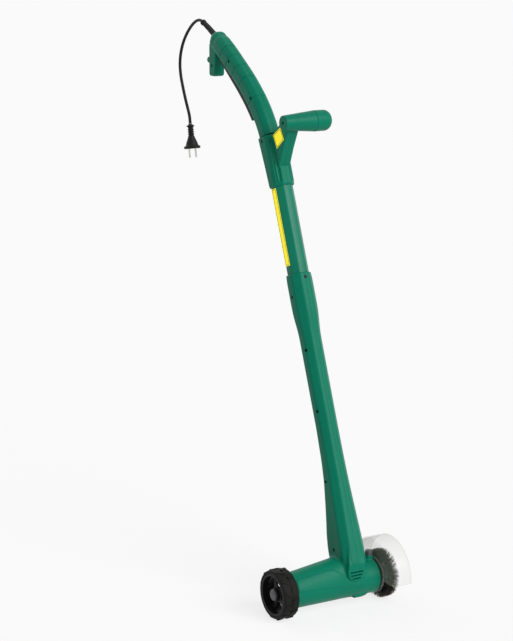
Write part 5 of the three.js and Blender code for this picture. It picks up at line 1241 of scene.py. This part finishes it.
def screw(node, length, radius):
    """A screw that points along x from 0, with its head first."""
    body = turned([(0, 0), (0, radius * 0.62), (0.5, radius * 0.9), (1, radius), (HEAD_HEIGHT, radius),
                   (HEAD_HEIGHT, SHANK_RADIUS), (length - 2, SHANK_RADIUS), (length, 0.2), (length, 0)], 28,
                  middle=(0, 0))
    cross = bmesh.new()
    for wide, thick in ((radius * 1.1, RECESS_WIDE), (RECESS_WIDE, radius * 1.1)):
        bmesh.ops.create_cube(cross, size=1, matrix=Matrix.Translation((0.4, 0, 0))
                              @ Matrix.Diagonal((RECESS_DEEP, wide, thick, 1)))
    return worked(body, "BOOLEAN", cross, operation="DIFFERENCE", solver="EXACT", use_self=True)


side_screws = ["body_screw_1", "body_screw_2", "body_screw_3", "body_screw_4", "bell_screw", "bracket_screw",
               "grip_screw", "handle_screw_1", "handle_screw_2", "hook_screw"]
for node in side_screws:
    low, high = (FROM_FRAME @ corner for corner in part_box(node))
    middle = (low + high) / 2
    driven = screw(node, high.x - low.x, (high.y - low.y) / 2)
    bmesh.ops.translate(driven, verts=driven.verts, vec=(low.x, middle.y, middle.z))
    piece(node + "_detail", driven, "screw_steel", "frame", [node])

# %% [markdown]
# ## Yellow panels
# Two yellow foil panels are stuck on, one down the tube and one on the arm. They are thin plates with a
# dark border line as a second, thinner frame. On the real tool they carry words and signs, and here they
# are bare.

# %% Panels
FOIL_THICK, FOIL_GAP, FOIL_HALF = 0.3, 0.05, 8
BORDER_OUTSIDE, BORDER_INSIDE = 1.6, 2.5


def panel(name, corners, lift):
    """A foil on a face that looks to the left, with a printed border inside its edge."""
    foil = prism([(lift, y, z) for y, z in corners], (-FOIL_THICK, 0, 0))
    piece(name, foil, None, "frame", material=yellow_foil)
    frames = []
    for inner, depth in ((BORDER_OUTSIDE, 0.1), (BORDER_INSIDE, 1)):
        outline = []
        for k, corner in enumerate(corners):
            here, before, after = Vector(corner), Vector(corners[k - 1]), Vector(corners[(k + 1) % 4])
            inward = (before - here).normalized() + (after - here).normalized()
            outline.append((lift - 0.2 + depth, *(here + inward * inner)))
        frames.append(prism(outline, (-0.2 - 2 * depth, 0, 0)))
    piece(name + "_border", cut(*frames), None, "frame", material=black_print)


FOIL_LOW, FOIL_TOP = 640, 797
tube_corners = [along_pole(FOIL_TOP, -FOIL_HALF), along_pole(FOIL_TOP, FOIL_HALF),
                along_pole(FOIL_LOW, FOIL_HALF), along_pole(FOIL_LOW, -FOIL_HALF)]
panel("tube_panel", tube_corners, -TUBE_HALF - FOIL_GAP)
panel("arm_panel", [(236, 921), (262, 903), (248, 878), (222, 899)], -ARM_HALF - FOIL_GAP)

# %% [markdown]
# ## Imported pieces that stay
# Motor, gears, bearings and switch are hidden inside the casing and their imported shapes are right. They
# keep their meshes, and each gets its real finish: sintered ferrite, enamelled copper, ground steel,
# white nylon.

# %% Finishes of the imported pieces
packed_finishes = {
    "bright_steel": ["motor_shaft", "spindle", "wheel_axle", "idler_shaft", "spindle_bearing_inner",
                     "spindle_bearing_outer", "motor_bearing_front", "motor_bearing_rear", "motor_can"],
    "dark_steel": ["armature_core", "axle_clip", "gear_plate_brush_side", "gear_plate_motor_side",
                   "motor_pinion"],
    "screw_steel": ["tube_screw", "trigger_pin"],
    "winding_copper": ["armature_winding"],
    "commutator_brass": ["commutator"],
    "ferrite": ["motor_magnet"],
    "carbon": ["carbon_brush_lower", "carbon_brush_upper"],
    "white_nylon": ["idler_gear", "spindle_gear", "cooling_fan"],
    "black_plastic": ["motor_end_cap", "switch_body", "switch_plunger"],
    "black_rubber": ["inner_lead"],
}
for slot, nodes in packed_finishes.items():
    for node in nodes:
        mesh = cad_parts[node].data
        mesh.materials.clear()
        mesh.materials.append(finishes[slot])
shown = [name for name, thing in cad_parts.items() if not thing.hide_render]
print("packed pieces shown:", len(shown), "with a finish:", sum(len(n) for n in packed_finishes.values()))

# %% [markdown]
# ## Floor and light
# A plain white studio. The floor is a wide white sheet that keeps the object's soft shadow. A share of it
# is plain white to the camera, as a lit paper sweep looks. The key light comes from the front and a
# little from the right, because in the picture the pole's left flat is its darkest face. A weak light
# from behind shows the back.

# %% Floor
PAPER_SHARE, FLOOR_SIZE = 0.76, 60


def seen_rays(tree):
    """One for a ray that shows the paper to the eye or in a reflection, and zero for the light on things."""
    path = add(tree, "ShaderNodeLightPath")
    seen = path.outputs["Is Camera Ray"]
    for kind in ("Is Glossy Ray", "Is Transmission Ray"):
        either = add(tree, "ShaderNodeMath", {0: seen, 1: path.outputs[kind]}, operation="MAXIMUM")
        seen = either.outputs["Value"]
    return seen


paper, paper_tree, _ = fresh_material("white_paper_sweep")
share = add(paper_tree, "ShaderNodeMath", {0: seen_rays(paper_tree), 1: PAPER_SHARE}, operation="MULTIPLY")
matt = add(paper_tree, "ShaderNodeBsdfDiffuse", {"Color": linear("#FDFDFD")})
bright = add(paper_tree, "ShaderNodeEmission", {"Color": linear("#FFFFFF"), "Strength": 1})
sheet_mix = add(paper_tree, "ShaderNodeMixShader", {0: share.outputs["Value"], 1: matt.outputs["BSDF"],
                                                   2: bright.outputs["Emission"]})
add(paper_tree, "ShaderNodeOutputMaterial", {"Surface": sheet_mix.outputs["Shader"]})
floor_bm = bmesh.new()
bmesh.ops.create_grid(floor_bm, x_segments=1, y_segments=1, size=FLOOR_SIZE,
                      matrix=Matrix.Translation((0, 0, ground)))
floor_mesh = bpy.data.meshes.new("floor")
floor_bm.to_mesh(floor_mesh)
floor_bm.free()
floor_mesh.materials.append(paper)
floor = placed("floor", floor_mesh)
print("floor at", round(ground, 4))

# %% Lights
KEY_STRENGTH, BACK_STRENGTH, SKY_STRENGTH = 2.65, 0.8, 0.22


def sun(name, towards, strength, spread):
    """A soft sun that shines from the direction towards."""
    data = bpy.data.lights.new(name, "SUN")
    data.energy = strength
    data.angle = math.radians(spread)
    lamp = placed(name, data)
    lamp.rotation_euler = Vector(towards).to_track_quat("Z", "Y").to_euler()


sun("key_light", (0.25, -0.8, 0.55), KEY_STRENGTH, 40)
sun("back_light", (-0.12, 0.8, 0.56), BACK_STRENGTH, 60)
world = bpy.data.worlds.new("studio")
bpy.context.scene.world = world
world.use_nodes = True
world_tree = world.node_tree
world_tree.nodes.clear()
plain = add(world_tree, "ShaderNodeBackground", {"Color": linear("#FFFFFF"), "Strength": SKY_STRENGTH})
white = add(world_tree, "ShaderNodeBackground", {"Color": linear("#FFFFFF"), "Strength": 1})
sky = add(world_tree, "ShaderNodeMixShader", {0: seen_rays(world_tree), 1: plain.outputs["Background"],
                                             2: white.outputs["Background"]})
add(world_tree, "ShaderNodeOutputWorld", {"Surface": sky.outputs["Shader"]})
print("lights: key", KEY_STRENGTH, "back", BACK_STRENGTH, "sky", SKY_STRENGTH)
